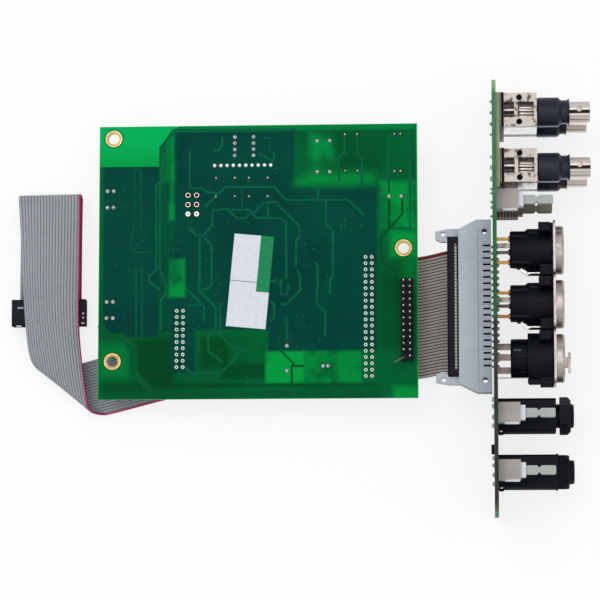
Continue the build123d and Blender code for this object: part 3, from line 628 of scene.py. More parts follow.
def attach(obj: bpy.types.Object, material: bpy.types.Material) -> bpy.types.Object:
    """Give a piece its finish, and let it ride on the card.

    Args:
        obj: the piece.
        material: its finish.

    Returns:
        The piece.
    """
    wear(obj, material)
    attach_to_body(obj, BODY)
    log.info("made %s", obj.name)
    return obj


def bevelled(low: Vector, high: Vector, bevel: float) -> bpy.types.Object:
    """A box with rounded edges, in metres.

    Args:
        low: its lowest corner.
        high: its highest corner.
        bevel: the width of the rounding.

    Returns:
        The box.
    """
    clear()
    bpy.ops.mesh.primitive_cube_add(size=1.0, location=(low + high) / 2)
    box = bpy.context.object
    box.scale = high - low
    bpy.ops.object.transform_apply(location=False, rotation=False, scale=True)
    bpy.ops.object.mode_set(mode="EDIT")
    bpy.ops.mesh.select_all(action="SELECT")
    bpy.ops.mesh.bevel(offset=bevel, segments=2, affect="EDGES")
    bpy.ops.object.mode_set(mode="OBJECT")
    return box


def turned(points: Line, sides: int) -> bpy.types.Object:
    """A closed body turned about Z, at the origin.

    Args:
        points: (height, radius) points in millimetres.
        sides: the number of sides round it.

    Returns:
        The body.
    """
    clear()
    height, radius = points[0]
    bpy.ops.mesh.primitive_circle_add(
        vertices=sides, radius=radius * MM, fill_type="NGON", location=(0, 0, height * MM)
    )
    obj = bpy.context.object
    bpy.ops.object.transform_apply(location=True)
    bpy.ops.object.mode_set(mode="EDIT")
    bpy.ops.mesh.select_all(action="SELECT")
    for new_height, new_radius in points[1:]:
        move = {"value": (0, 0, (new_height - height) * MM)}
        bpy.ops.mesh.extrude_region_move(TRANSFORM_OT_translate=move)
        grow = new_radius / radius
        bpy.ops.transform.resize(value=(grow, grow, 1), center_override=(0, 0, new_height * MM))
        height, radius = new_height, new_radius
    bpy.ops.object.mode_set(mode="OBJECT")
    return obj


def hoop(inner: float, outer: float, depth: float, sides: int = 48) -> bpy.types.Object:
    """A flat closed ring about Z from the origin up, its sizes in millimetres.

    Args:
        inner: the inner radius.
        outer: the outer radius.
        depth: the height.
        sides: the number of sides round it.

    Returns:
        The ring.
    """
    clear()
    bpy.ops.mesh.primitive_circle_add(vertices=sides, radius=inner * MM, fill_type="NOTHING")
    obj = bpy.context.object
    bpy.ops.object.mode_set(mode="EDIT")
    bpy.ops.mesh.select_all(action="SELECT")
    bpy.ops.mesh.extrude_edges_move()
    bpy.ops.transform.resize(value=(outer / inner, outer / inner, 1), center_override=(0, 0, 0))
    bpy.ops.mesh.select_all(action="SELECT")
    bpy.ops.mesh.extrude_region_move(TRANSFORM_OT_translate={"value": (0, 0, depth * MM)})
    bpy.ops.object.mode_set(mode="OBJECT")
    return obj


def copies(
    obj: bpy.types.Object, places: Iterable[Matrix], name: str, angle: float = 40.0
) -> bpy.types.Object:
    """Copy a finished shape to each place and join the copies.

    Args:
        obj: the shape, at the origin.
        places: one matrix for each copy.
        name: the joined piece's name.
        angle: the smoothing angle in degrees.

    Returns:
        The joined piece.
    """
    made = []
    for place in places:
        twin = obj.copy()
        twin.data = obj.data.copy()
        twin.data.transform(place)
        bpy.context.scene.collection.objects.link(twin)
        made.append(twin)
    bpy.data.objects.remove(obj)
    return settle(joined(made), name, angle)


def studs(
    name: str, profile: Line, spots: Iterable[Point], material: bpy.types.Material,
    sides: int = 20, angle: float = 40.0,
) -> bpy.types.Object:
    """Turn a profile about Z and stand a copy of it on each spot, as one piece.

    Args:
        name: the piece's name.
        profile: (height, radius) points in millimetres.
        spots: places in board millimetres.
        material: its finish.
        sides: the number of sides round each copy.
        angle: the smoothing angle in degrees.

    Returns:
        The piece.
    """
    places = [Matrix.Translation(spot(*place)) for place in spots]
    return attach(copies(turned(profile, sides), places, name, angle), material)


def tracks(name: str, lines: Iterable[Line], width: float, rise: float) -> bpy.types.Object:
    """Flat copper tracks on the main board, in board millimetres.

    Args:
        name: the piece's name.
        lines: the tracks' corners.
        width: their width.
        rise: their height above the board.

    Returns:
        The piece.
    """
    clear()
    curve = bpy.data.curves.new(name, "CURVE")
    curve.dimensions = "3D"
    curve.bevel_depth = width / 2 * MM
    curve.bevel_resolution = 1
    curve.use_fill_caps = True
    for line in lines:
        spline = curve.splines.new("POLY")
        spline.points.add(len(line) - 1)
        for point, (x, y) in zip(spline.points, line):
            point.co = (*spot(x, y, 0.0), 1.0)
    obj = bpy.data.objects.new(name, curve)
    bpy.context.scene.collection.objects.link(obj)
    pick(obj)
    bpy.ops.object.convert(target="MESH")
    obj = bpy.context.object
    obj.scale = (1, 1, rise / (width / 2))
    obj.location = (0, 0, BOARD_TOP * MM)
    return settle(obj, name, 60.0)


@dataclass
class FlatCable:
    """A ribbon cable laid as parallel wires between the routes of its two edges.

    The routes are control points in board millimetres, left and right edge point for point.
    """

    name: str
    left: Sequence[Point]
    right: Sequence[Point]
    wires: int
    arches: dict[int, float] = field(default_factory=dict)
    thickness: float = 0.9
    web: float = 0.34
    facets: int = 5
    steps: int = 7

    def control(self, share: float) -> list[Vector]:
        """Control points of one line along the cable.

        Args:
            share: its place across the width, 0 at the right edge.

        Returns:
            The points in metres.
        """
        points = []
        for i, (a, b) in enumerate(zip(self.right, self.left)):
            x, y, z = (p + (q - p) * share for p, q in zip(a, b))
            points.append(spot(x, y, z + self.arches.get(i, 0.0) * 4 * share * (1 - share)))
        return points

    def line(self, share: float) -> list[Vector]:
        """Points on one smooth line along the cable.

        Args:
            share: its place across the width, 0 at the right edge.

        Returns:
            The points in metres.
        """
        curve = bpy.data.curves.new("cable_line", "CURVE")
        curve.dimensions = "3D"
        curve.resolution_u = self.steps
        spline = curve.splines.new("NURBS")
        control = self.control(share)
        spline.points.add(len(control) - 1)
        for point, place in zip(spline.points, control):
            point.co = (*place, 1.0)
        spline.order_u = 3
        spline.use_endpoint_u = True
        holder = bpy.data.objects.new("cable_line", curve)
        mesh = bpy.data.meshes.new_from_object(holder)
        points = [v.co.copy() for v in mesh.vertices]
        bpy.data.objects.remove(holder)
        bpy.data.curves.remove(curve)
        bpy.data.meshes.remove(mesh)
        return points

    def section(self) -> list[Pair]:
        """Places across the width.

        Returns:
            Each one's share of the width and half thickness in millimetres.
        """
        places = []
        for wire in range(self.wires):
            for step in range(self.facets):
                u = 2 * step / self.facets - 1
                half = max(self.web / 2, self.thickness / 2 * math.sqrt(max(0.0, 1 - u * u)))
                places.append(((wire + step / self.facets) / self.wires, half))
        return places + [(1.0, self.web / 2)]

    def build(self) -> bpy.types.Object:
        """Make the cable's mesh with a UV map: u across, v along.

        Returns:
            The cable.
        """
        section = self.section()
        rows = [self.line(share) for share, _ in section]
        count = len(rows[0])
        width = len(section)
        upper: list[Vector] = []
        lower: list[Vector] = []
        for i in range(count):
            before, after = max(i - 1, 0), min(i + 1, count - 1)
            for j, (_, half) in enumerate(section):
                left, right = max(j - 1, 0), min(j + 1, width - 1)
                normal = (rows[j][after] - rows[j][before]).cross(rows[right][i] - rows[left][i])
                offset = normal.normalized() * half * MM
                upper.append(rows[j][i] + offset)
                lower.append(rows[j][i] - offset)
        base = len(upper)
        faces = []
        for i in range(count - 1):
            for j in range(width - 1):
                k = i * width + j
                faces.append((k, k + width, k + width + 1, k + 1))
                faces.append((base + k, base + k + 1, base + k + width + 1, base + k + width))
            k = i * width
            faces.append((k, base + k, base + k + width, k + width))
            k += width - 1
            faces.append((k, k + width, base + k + width, base + k))
        for j in range(width - 1):
            faces.append((j, j + 1, base + j + 1, base + j))
            k = base - width + j
            faces.append((k, base + k, base + k + 1, k + 1))
        mesh = bpy.data.meshes.new(self.name)
        mesh.from_pydata(upper + lower, [], faces)
        layer = mesh.uv_layers.new(name="UVMap")
        for loop in mesh.loops:
            k = loop.vertex_index % base
            layer.data[loop.index].uv = ((k % width) / (width - 1), (k // width) / (count - 1))
        obj = bpy.data.objects.new(self.name, mesh)
        bpy.context.scene.collection.objects.link(obj)
        return settle(obj, self.name, 60.0)


@dataclass(frozen=True)
class CableSheath:
    """Grey PVC over parallel wires with painted shade in the grooves between them, and a red mark along one
    edge.
    """

    name: str
    ridge: Colour
    groove_shade: Colour
    mark: Colour
    wires: int
    mark_share: float = 0.9
    mark_high: bool = False

    def make(self) -> bpy.types.Material:
        """Build the material from the cable's UV map.

        Returns:
            The material.
        """
        shader = Shader(self.name)
        u = shader.parts(shader.node("ShaderNodeUVMap", {"uv_map": "UVMap"})[0])[0]
        wave = abs((u * (math.pi * self.wires)).wave())
        # painted shade: the grooves between the wires are coloured darker than their crests
        colour = shader.mix(wave.step(0.15, 0.75), self.groove_shade, self.ridge)
        colour = shader.mix(shader.noise(60.0).step(0.35, 0.7) * 0.18, colour, self.groove_shade)
        edge = self.mark_share / self.wires
        marked = u.step(1 - edge * 1.1, 1 - edge) if self.mark_high else u.below(edge, edge * 1.1)
        return shader.finish(
            Base_Color=shader.mix(marked, colour, self.mark), Roughness=shader.noise(500.0) * 0.15 + 0.38,
            Normal=shader.bump(shader.noise(2500.0, 2.0), 0.000008), Specular_IOR_Level=0.25,
        )


@dataclass(frozen=True)
class SolderCone:
    """Solder with a painted highlight at its rim and tip and painted shade on its flank, and a dark gap in
    the mask round it.

    The heights are in millimetres above the board.
    """

    name: str
    # painted highlight colour of the rim and tip
    rim: Colour = tone(236, 242, 236)
    flank_shade: Colour = tone(14, 34, 28)
    collar: Colour = tone(0, 44, 32)
    collar_top: float = 0.05
    flank_low: float = 0.14
    flank_top: float = 0.8
    patches: float = 0.4

    def make(self) -> bpy.types.Material:
        """Build the material from the height above the board.

        Returns:
            The material.
        """
        shader = Shader(self.name)
        height = shader.board_mm()[2] - BOARD_TOP
        # painted shade on the flank, between flank_low and flank_top
        shade = height.step(self.flank_low, self.flank_low + 0.06)
        shade = shade * height.below(self.flank_top, self.flank_top + 0.15)
        patchy = shader.noise(1100.0).step(0.42, 0.56) * self.patches + (1.0 - self.patches)
        metal = height.step(self.collar_top, self.collar_top + 0.01)
        colour = shader.mix(metal, self.collar, shader.mix(shade * patchy, self.rim, self.flank_shade))
        return shader.finish(
            Base_Color=colour, Metallic=metal * 0.5, Roughness=shader.noise(900.0) * 0.2 + 0.3,
            Specular_IOR_Level=0.1,
        )


@dataclass(frozen=True)
class CopperRing:
    """Bare copper round the mounting holes, pale gold with a brown line inside; the small lands are white.

    The distances are in millimetres from a hole's centre.
    """

    line: float = 2.62
    edge: float = 3.6

    def make(self) -> bpy.types.Material:
        """Build the material from the distance to the nearest hole.

        Returns:
            The material.
        """
        shader = Shader("copper_ring")
        x, y, _ = shader.board_mm()
        gap = shader.nearest(x, y, MOUNTING_HOLES)
        patina = shader.noise(350.0, 4.0).step(0.35, 0.7)
        colour = shader.mix(patina, tone(180, 168, 114), tone(170, 150, 96))
        brown = shader.mix(patina, tone(150, 106, 60), tone(164, 110, 72))
        colour = shader.mix(gap.near(self.line, 0.12, 0.42), colour, brown)
        colour = shader.mix(gap.step(self.edge, self.edge + 0.2), colour, tone(216, 196, 186))
        return shader.finish(
            Base_Color=colour, Metallic=0.75, Roughness=patina * 0.15 + 0.34,
            Normal=shader.bump(patina, 0.000004),
        )


@dataclass(frozen=True)
class LabelPaper:
    """A white adhesive label with a bare green band and a divider line.

    The sizes are in millimetres, measured from the label's centre along its own turned axes.
    """

    centre: Pair = (61.5, 47.6)
    turn: float = -5.3
    band_start: float = 2.75
    band_end: float = -4.0
    divider: float = -0.2
    blur: float = 0.06

    def make(self) -> bpy.types.Material:
        """Build the material in the label's own axes.

        Returns:
            The material.
        """
        shader = Shader("label_paper")
        x, y, _ = shader.board_mm()
        right = x - self.centre[0]
        up = y - self.centre[1]
        c = math.cos(math.radians(self.turn))
        s = math.sin(math.radians(self.turn))
        across = right * c + up * s
        along = up * c - right * s
        band = across.step(self.band_start - self.blur, self.band_start + self.blur)
        band = band * along.step(self.band_end - self.blur, self.band_end + self.blur)
        line = along.near(self.divider, 0.08, 0.16) * (1.0 - band)
        fibre = shader.noise(700.0, 4.0)
        colour = shader.cloudy(fibre, tone(207, 211, 220), tone(216, 219, 227))
        ink = shader.mix(fibre.step(0.25, 0.6), tone(28, 140, 88), tone(14, 122, 74))
        colour = shader.mix(band, colour, ink)
        return shader.finish(
            Base_Color=shader.mix(line * 0.9, colour, tone(40, 44, 44)), Roughness=fibre * 0.15 + 0.5,
            Specular_IOR_Level=0.15, Normal=shader.bump(fibre, 0.000004),
        )


@dataclass(frozen=True)
class PanelEdge:
    """The standing board: green laminate on its upper stretch and bare dark laminate below.

    The places are in board millimetres along the card's width.
    """

    change: float = 29.0
    bright: Pair = (68.0, 78.0)
    pale_end: Pair = (118.0, 122.0)
    bare_end: Pair = (-50.0, -42.0)

    def make(self) -> bpy.types.Material:
        """Build the material from the place along the board.

        Returns:
            The material.
        """
        shader = Shader("panel_laminate")
        y = shader.board_mm()[1]
        fibre = shader.noise(500.0, 4.0, (1, 0.2, 1))
        bright = shader.cloudy(fibre, tone(48, 96, 64), tone(74, 122, 90))
        green = shader.cloudy(fibre, tone(20, 76, 44), tone(40, 104, 66))
        dull = shader.cloudy(fibre, tone(34, 38, 34), tone(56, 62, 54))
        colour = shader.mix(y.step(*self.bright), green, bright)
        colour = shader.mix(y.step(self.change - 2, self.change + 2), dull, colour)
        colour = shader.mix(y.step(*self.pale_end) * 0.6, colour, tone(150, 190, 134))
        colour = shader.mix(y.below(*self.bare_end), colour, tone(104, 104, 92))
        face = shader.cloudy(shader.noise(60.0), tone(0, 84, 44), tone(2, 104, 58))
        colour = shader.mix(shader.normal()[2].step(0.5, 0.9), face, colour)
        return shader.finish(
            Base_Color=colour, Roughness=fibre * 0.2 + 0.4, Specular_IOR_Level=0.1,
            Normal=shader.bump(fibre),
        )


@dataclass(frozen=True)
class HeaderShroud:
    """Grey moulded header with fine ledges drawn as shadow lines, in board millimetres."""

    vented: Pair = (5.0, 66.5)
    fold: float = 153.5
    ledges: tuple[float, ...] = (18.3, 53.4, 36.3)

    def make(self) -> bpy.types.Material:
        """Build the material with its ledges along the vented stretch.

        Returns:
            The material.
        """
        shader = Shader("header_shroud")
        x, y, _ = shader.board_mm()
        first, last = self.vented
        upright = x.near(self.fold, 0.06, 0.16) * y.step(first, first + 0.3) * y.below(last, last + 0.3)
        ledge = y.near(self.ledges[0], 0.05, 0.15)
        for place in self.ledges[1:]:
            ledge = ledge.most(y.near(place, 0.05, 0.15))
        ledge = ledge * x.step(self.fold - 0.1, self.fold + 0.1)
        colour = shader.cloudy(shader.noise(70.0, 4.0), tone(166, 172, 182), tone(178, 184, 194))
        colour = shader.mix(upright.most(ledge * 0.8) * 0.55, colour, tone(110, 116, 128))
        return shader.finish(
            Base_Color=colour, Roughness=shader.noise(400.0) * 0.12 + 0.4, Specular_IOR_Level=0.2,
            Normal=shader.bump(1.0 - upright.most(ledge), 0.0001),
        )


@dataclass(frozen=True)
class SleevePlastic:
    """Black phono sleeves with a painted highlight as a grey line along each one's lower edge."""

    edge: Pair = (0.16, 0.3)
    highlight_end: Pair = (189.6, 190.0)

    def make(self) -> bpy.types.Material:
        """Build the material from the surface's slope.

        Returns:
            The material.
        """
        shader = Shader("phono_sleeve")
        x = shader.board_mm()[0]
        _, side, up = shader.normal()
        # painted highlight: a grey line where the sleeve's underside faces down and outwards
        edge_highlight = side.below(-0.9, -0.7) * up.below(*self.edge) * x.below(*self.highlight_end)
        cloud = shader.noise(90.0, 4.0).step(0.3, 0.7)
        colour = shader.mix(cloud, tone(17, 21, 36), tone(25, 30, 48))
        return shader.finish(
            Base_Color=shader.mix(edge_highlight * 0.9, colour, tone(176, 180, 194)),
            Roughness=shader.noise(400.0) * 0.16 + 0.3, Specular_IOR_Level=0.22, Normal=shader.bump(cloud),
        )


@dataclass(frozen=True)
class SpringSteel:
    """Ground springs: grey legs at the panel board and a bright clip, split at a place along the card."""

    change: float = 167.0

    def make(self) -> bpy.types.Material:
        """Build the material from the place along the spring.

        Returns:
            The material.
        """
        shader = Shader("spring_steel")
        beyond = shader.board_mm()[0].step(self.change - 0.2, self.change + 0.2)
        marks = shader.noise(500.0, 4.0).step(0.4, 0.7)
        leg = shader.mix(marks, tone(140, 130, 124), tone(88, 80, 76))
        clip = shader.mix(marks, tone(226, 224, 218), tone(150, 144, 136))
        return shader.finish(
            Base_Color=shader.mix(beyond, leg, clip), Metallic=0.9, Roughness=marks * 0.2 + 0.25,
            Normal=shader.bump(marks),
        )


@dataclass(frozen=True)
class SwitchPlastic:
    """Switch mouldings: the case beige to its rim and lilac white beyond, painted a darker toothed brown low
    down as shade.

    The rim's place is in board millimetres and the low level above the floor.
    """

    rim: float = 169.7
    low: float = 22.0
    teeth: float = 5.0

    def make(self) -> bpy.types.Material:
        """Build the material from the place along the switch.

        Returns:
            The material.
        """
        shader = Shader("switch_beige")
        x, _, z = shader.board_mm()
        cloud = shader.noise(110.0, 4.0).step(0.3, 0.7)
        colour = shader.mix(cloud, tone(158, 150, 146), tone(170, 162, 158))
        colour = shader.mix(x.step(self.rim - 0.05, self.rim + 0.05), colour, tone(206, 208, 220))
        # painted shade: below the low level the moulding is coloured a darker toothed brown
        brown = shader.mix((x * self.teeth).wave().step(-0.3, 0.5), tone(74, 64, 54), tone(128, 116, 100))
        return shader.finish(
            Base_Color=shader.mix(z.step(self.low - 2.0, self.low), brown, colour),
            Roughness=shader.noise(400.0) * 0.14 + 0.42, Specular_IOR_Level=0.2, Normal=shader.bump(cloud),
        )


@dataclass(frozen=True)
class ContactPlate:
    """Gold contacts with a tarnished grey one on each socket's axis, in board millimetres."""

    axes: Pair

    def make(self) -> bpy.types.Material:
        """Build the material from the distance to the nearest axis.

        Returns:
            The material.
        """
        shader = Shader("contact_plate")
        y = shader.board_mm()[1]
        gap = abs(y - self.axes[0]).least(abs(y - self.axes[1]))
        marks = shader.noise(300.0, 4.0, (0.3, 1, 1)).step(0.4, 0.7)
        gold = shader.mix(marks, tone(180, 136, 80), tone(136, 92, 46))
        grey = shader.mix(marks, tone(132, 120, 112), tone(84, 76, 72))
        return shader.finish(
            Base_Color=shader.mix(gap.step(1.2, 1.6), grey, gold), Metallic=1.0,
            Roughness=shader.noise(700.0) * 0.2 + 0.26, Normal=shader.bump(marks),
        )


@dataclass(frozen=True)
class TurnedBarrel:
    """Turned nickel with a dark reflected band along each barrel, below its upper light.

    The band and the two fine lines are offsets from each barrel's axis in millimetres.
    """

    axes: Pair
    between: float = 101.0
    band: Pair = (-1.3, 0.2)
    lines: Pair = (-2.4, -3.5)

    def make(self) -> bpy.types.Material:
        """Build the material from the place across the barrel.

        Returns:
            The material.
        """
        shader = Shader("turned_barrel")
        _, y, z = shader.board_mm()
        lower_barrel = y.below(self.between, self.between + 0.2)
        across = y - self.axes[0] + lower_barrel * (self.axes[0] - self.axes[1])
        low, high = self.band
        band = across.step(low - 0.15, low + 0.15) * across.below(high - 0.15, high + 0.15)
        fine = across.near(self.lines[0], 0.05, 0.22).most(across.near(self.lines[1], 0.05, 0.25)) * 0.5
        streak = shader.noise(900.0, 4.0, (0.03, 1, 1)).step(0.4, 0.75) * 0.35
        dark = (band * z.step(22.0, 24.0)).most(fine).most(streak)
        return shader.finish(
            Base_Color=shader.mix(dark, tone(204, 196, 190), tone(34, 27, 24)), Metallic=1.0,
            Roughness=shader.noise(700.0) * 0.15 + 0.24, Normal=shader.bump(streak),
        )


@dataclass(frozen=True)
class FramePlate:
    """Pressed nickel: pale mottled top face, and a side painted white as a reflection, with a painted shade
    line at its top and a dark line at its foot.

    The levels are in millimetres above the floor.
    """

    top: float = 38.2
    foot: float = 21.0

    def make(self) -> bpy.types.Material:
        """Build the material from the height and the face's slope.

        Returns:
            The material.
        """
        shader = Shader("frame_plate")
        z = shader.board_mm()[2]
        specks = shader.noise(420.0, 5.0).step(0.5, 0.64)
        face = shader.mix(specks, tone(164, 156, 150), tone(78, 68, 62))
        # painted reflection: the upright side is near white, as the white floor would show in it, darker at
        # the foot
        wall_reflection = shader.mix(z.below(self.foot, self.foot + 1.5), tone(250, 250, 250), tone(60, 46, 36))
        level = shader.normal()[2].step(0.5, 0.8)
        upright = 1.0 - level
        # painted shade: a dark line along the top of the upright faces, round the windows' edges
        edge = z.near(self.top, 1.4, 1.8) * upright * 0.8
        return shader.finish(
            Base_Color=shader.mix(edge, shader.mix(level, wall_reflection, face), tone(60, 52, 48)),
            Metallic=upright * 0.4 + 0.6, Roughness=level * 0.25 + specks * 0.15 + 0.12,
            Normal=shader.bump(specks, 0.00002),
        )


class Finishes:
    """The finishes of the slots, the CAD nodes and the shared fine pieces."""

    def __init__(self, board: Board) -> None:
        """Make the slots' materials and those of the fine pieces that differ from their slot.

        Args:
            board: the main board, which makes its own mask.
        """
        grey = Plastic("grey_polyester", tone(168, 174, 184), 0.42, vary=0.04, gloss=0.2).make()
        self.slots = {
            Slot.BOARD: board.mask_material(),
            Slot.COPPER: CopperRing().make(),
            Slot.PAPER: LabelPaper().make(),
            Slot.SOLDER: SolderCone("solder_joint", patches=0.6, flank_top=0.6).make(),
            Slot.BLACK: Plastic("black_nylon", tone(6, 9, 19), 0.42, gloss=0.09).make(),
            Slot.GOLD: Metal("gold_plate", tone(190, 152, 92), 0.3, tone(132, 92, 46)).make(),
            Slot.CABLE: grey,
            Slot.SLEEVE: Plastic("can_sleeve", tone(28, 32, 52), 0.3).make(),
            Slot.FILM: Plastic("film_box", tone(150, 40, 28), 0.3).make(),
            Slot.NETWORK: Plastic("network_dip", tone(128, 96, 40), 0.3).make(),
            Slot.CAN: Metal("can_metal", tone(186, 186, 184), 0.3).make(),
            Slot.GREY: grey,
            Slot.WHITE: Plastic("white_nylon", tone(206, 210, 220), 0.4, vary=0.04, gloss=0.2).make(),
            Slot.NICKEL: Metal("nickel_plate", tone(166, 158, 154), 0.3, tone(80, 70, 64)).make(),
            Slot.TIN: Metal("tin_plate", tone(188, 182, 176), 0.32, tone(100, 90, 82)).make(),
        }
        # painted highlight on the rim and painted shade on the flank of the header pins' solder
        self.pin_solder = SolderCone(
            "pin_solder", rim=tone(204, 220, 210), flank_shade=tone(2, 14, 12), flank_low=0.2, flank_top=2.0,
            patches=0.25,
        ).make()
        self.lead = Metal(
            "dark_contacts", tone(112, 102, 98), 0.3, tone(58, 50, 48), (0.3, 1, 1), 0.7, 500.0
        ).make()
        # painted highlight: grey for the small glint boxes on the sockets
        self.dull = Plastic("glint_grey", tone(66, 72, 84), 0.4, vary=0.2, gloss=0.2).make()
        self.shade = Plastic("deep_shadow", tone(8, 8, 10), 0.7, gloss=0.05).make()

    def own(self) -> dict[str, bpy.types.Material]:
        """Make the finishes of the nodes that differ from their slot.

        Returns:
            The finishes by node.
        """
        beige = SwitchPlastic().make()
        bronze = Metal("bronze_strip", tone(92, 88, 76), 0.4, tone(34, 30, 26)).make()
        plate = FramePlate().make()
        cover = Plastic("socket_black", tone(8, 11, 23), 0.42, gloss=0.1).make()
        plunger = Plastic("plunger_grey", tone(164, 170, 166), 0.42, vary=0.05, gloss=0.2).make()
        return {
            "switch_cases": beige,
            "switch_guides": beige,
            "switch_plunger_1": plunger,
            # painted shade: the lower plunger is a darker copy of the plunger grey
            "switch_plunger_2": Plastic(
                "shaded_plunger_grey", tone(118, 116, 104), 0.45, vary=0.08, gloss=0.15
            ).make(),
            "switch_plunger_3": plunger,
            "switch_plunger_4": plunger,
            "phono_spacer": Plastic("spacer_beige", tone(152, 160, 128), 0.55, vary=0.2, gloss=0.1).make(),
            "phono_base_1": bronze,
            "phono_base_2": bronze,
            "phono_sleeves": SleevePlastic().make(),
            "phono_barrels": TurnedBarrel(PHONO_ROWS).make(),
            "phono_frame_1": plate,
            "phono_frame_2": plate,
            "panel_board": PanelEdge().make(),
            "panel_socket_cover": cover,
            "panel_socket_body": cover,
            "panel_solder_tails": Metal(
                "panel_tails", tone(150, 160, 150), 0.3, tone(30, 60, 44), (1, 1, 1), 0.8, 500.0
            ).make(),
            "xlr_pins": ContactPlate(MALE_ROWS).make(),
            "xlr_3_contacts": self.lead,
            "xlr_ground_springs": SpringSteel().make(),
            "xlr_3_latch": Metal(
                "latch_steel", tone(176, 166, 160), 0.3, tone(44, 36, 32), (1, 0.4, 1), 0.9, 420.0
            ).make(),
            # painted shade: the header pins take the dark contact finish to stand for their shade between
            # header and board
            "ejector_pins": self.lead,
            "ejector_shroud": HeaderShroud().make(),
            "pin_strip_pins": self.slots[Slot.TIN],
        }

    def dress(self, nodes: dict[str, bpy.types.Object], subparts: list[dict[str, str]]) -> None:
        """Give each CAD node its own finish or its slot's.

        Args:
            nodes: the CAD objects by node.
            subparts: the record's subparts, each with its node and slot.
        """
        own = self.own()
        for entry in subparts:
            name = entry["node"]
            wear(nodes[name], own.get(name, self.slots[Slot(entry["material_slot"])]))
            log.info("dressed %s", name)


@dataclass(frozen=True)
class Cables:
    """The two ribbon cables, by the routes of their edges in board millimetres."""

    free_left: tuple[Point, ...] = (
        (30.1, 37.1, 6.5), (44.0, 37.1, 6.5), (56.6, 37.1, 6.5), (59.4, 37.1, 6.5), (59.4, 36.7, 0.9),
        (56.8, 35.9, 1.0), (20.3, 25.2, 1.0), (-1.7, 18.5, 1.0), (-20.4, 13.6, 1.1), (-25.4, 12.8, 1.7),
        (-28.6, 16.6, 9.4), (-29.8, 21.3, 9.4), (-31.0, 31.6, 9.4), (-32.1, 47.4, 9.4), (-32.9, 62.8, 9.4),
        (-33.8, 76.3, 9.4), (-34.2, 81.2, 9.4), (-34.4, 85.2, 9.4), (-34.5, 85.2, 1.0), (-34.5, 81.2, 1.0),
        (-34.6, 67.0, 1.0), (-34.6, 40.0, 1.0), (-34.6, 38.8, 1.0), (-34.6, 38.8, 8.4),
    )
    free_right: tuple[Point, ...] = (
        (30.1, 11.7, 6.5), (44.0, 11.7, 6.5), (60.1, 11.7, 6.5), (62.9, 11.7, 6.5), (62.9, 11.3, 1.0),
        (60.2, 10.5, 1.0), (46.4, 6.7, 1.0), (24.1, 1.0, 1.0), (5.2, -3.9, 1.0), (0.2, -5.0, 1.0),
        (-4.6, -4.2, 9.0), (-5.6, 1.4, 9.3), (-7.6, 14.9, 9.4), (-9.3, 32.2, 9.4), (-9.0, 54.5, 9.4),
        (-8.8, 75.3, 9.4), (-8.8, 81.4, 9.4), (-8.9, 85.6, 9.4), (-9.0, 85.6, 1.0), (-9.1, 81.4, 1.0),
        (-9.2, 67.0, 1.0), (-9.2, 40.1, 1.0), (-9.2, 38.9, 1.0), (-9.2, 38.8, 8.4),
    )
    free_arches: tuple[tuple[int, float], ...] = ((11, 1.5), (12, 4.2), (13, 5.0), (14, 3.8), (15, 1.2))
    panel_left: tuple[Point, ...] = (
        (106.4, 58.4, 6.5), (113.0, 57.6, 6.5), (119.0, 57.3, 6.5), (130.0, 58.5, 6.5), (136.0, 59.7, 6.5),
        (139.0, 60.6, 6.5), (144.5, 61.4, 6.5), (144.5, 61.4, 12.0), (144.5, 61.4, 18.0),
        (144.5, 61.4, 25.05),
    )
    panel_right: tuple[Point, ...] = (
        (106.4, 7.6, 6.5), (113.0, 7.6, 6.5), (119.0, 7.5, 6.5), (130.0, 8.8, 6.5), (136.0, 9.9, 6.5),
        (139.0, 10.4, 6.5), (144.5, 10.6, 6.5), (144.5, 10.6, 12.0), (144.5, 10.6, 18.0),
        (144.5, 10.6, 25.05),
    )

    def build(self, nodes: dict[str, bpy.types.Object]) -> None:
        """Make both cables.

        Args:
            nodes: the CAD objects by node; not used.
        """
        ribbon = FlatCable("free_ribbon", self.free_left, self.free_right, 20, dict(self.free_arches))
        sheath = CableSheath(
            "free_sheath", tone(154, 158, 164), tone(104, 108, 115), tone(168, 40, 98), 20, 0.6
        )
        free = attach(ribbon.build(), sheath.make())
        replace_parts(free, "ribbon_20")
        path = ribbon.line(0.5)
        ribbon = FlatCable("panel_ribbon", self.panel_left, self.panel_right, 40, steps=4)
        # painted shade: the panel cable's grooves are coloured very dark, as it lies in shade between the
        # boards
        sheath = CableSheath(
            "panel_sheath", tone(178, 170, 164), tone(60, 48, 45), tone(120, 16, 40), 40, mark_high=True
        )
        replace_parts(attach(ribbon.build(), sheath.make()), "ribbon_40")


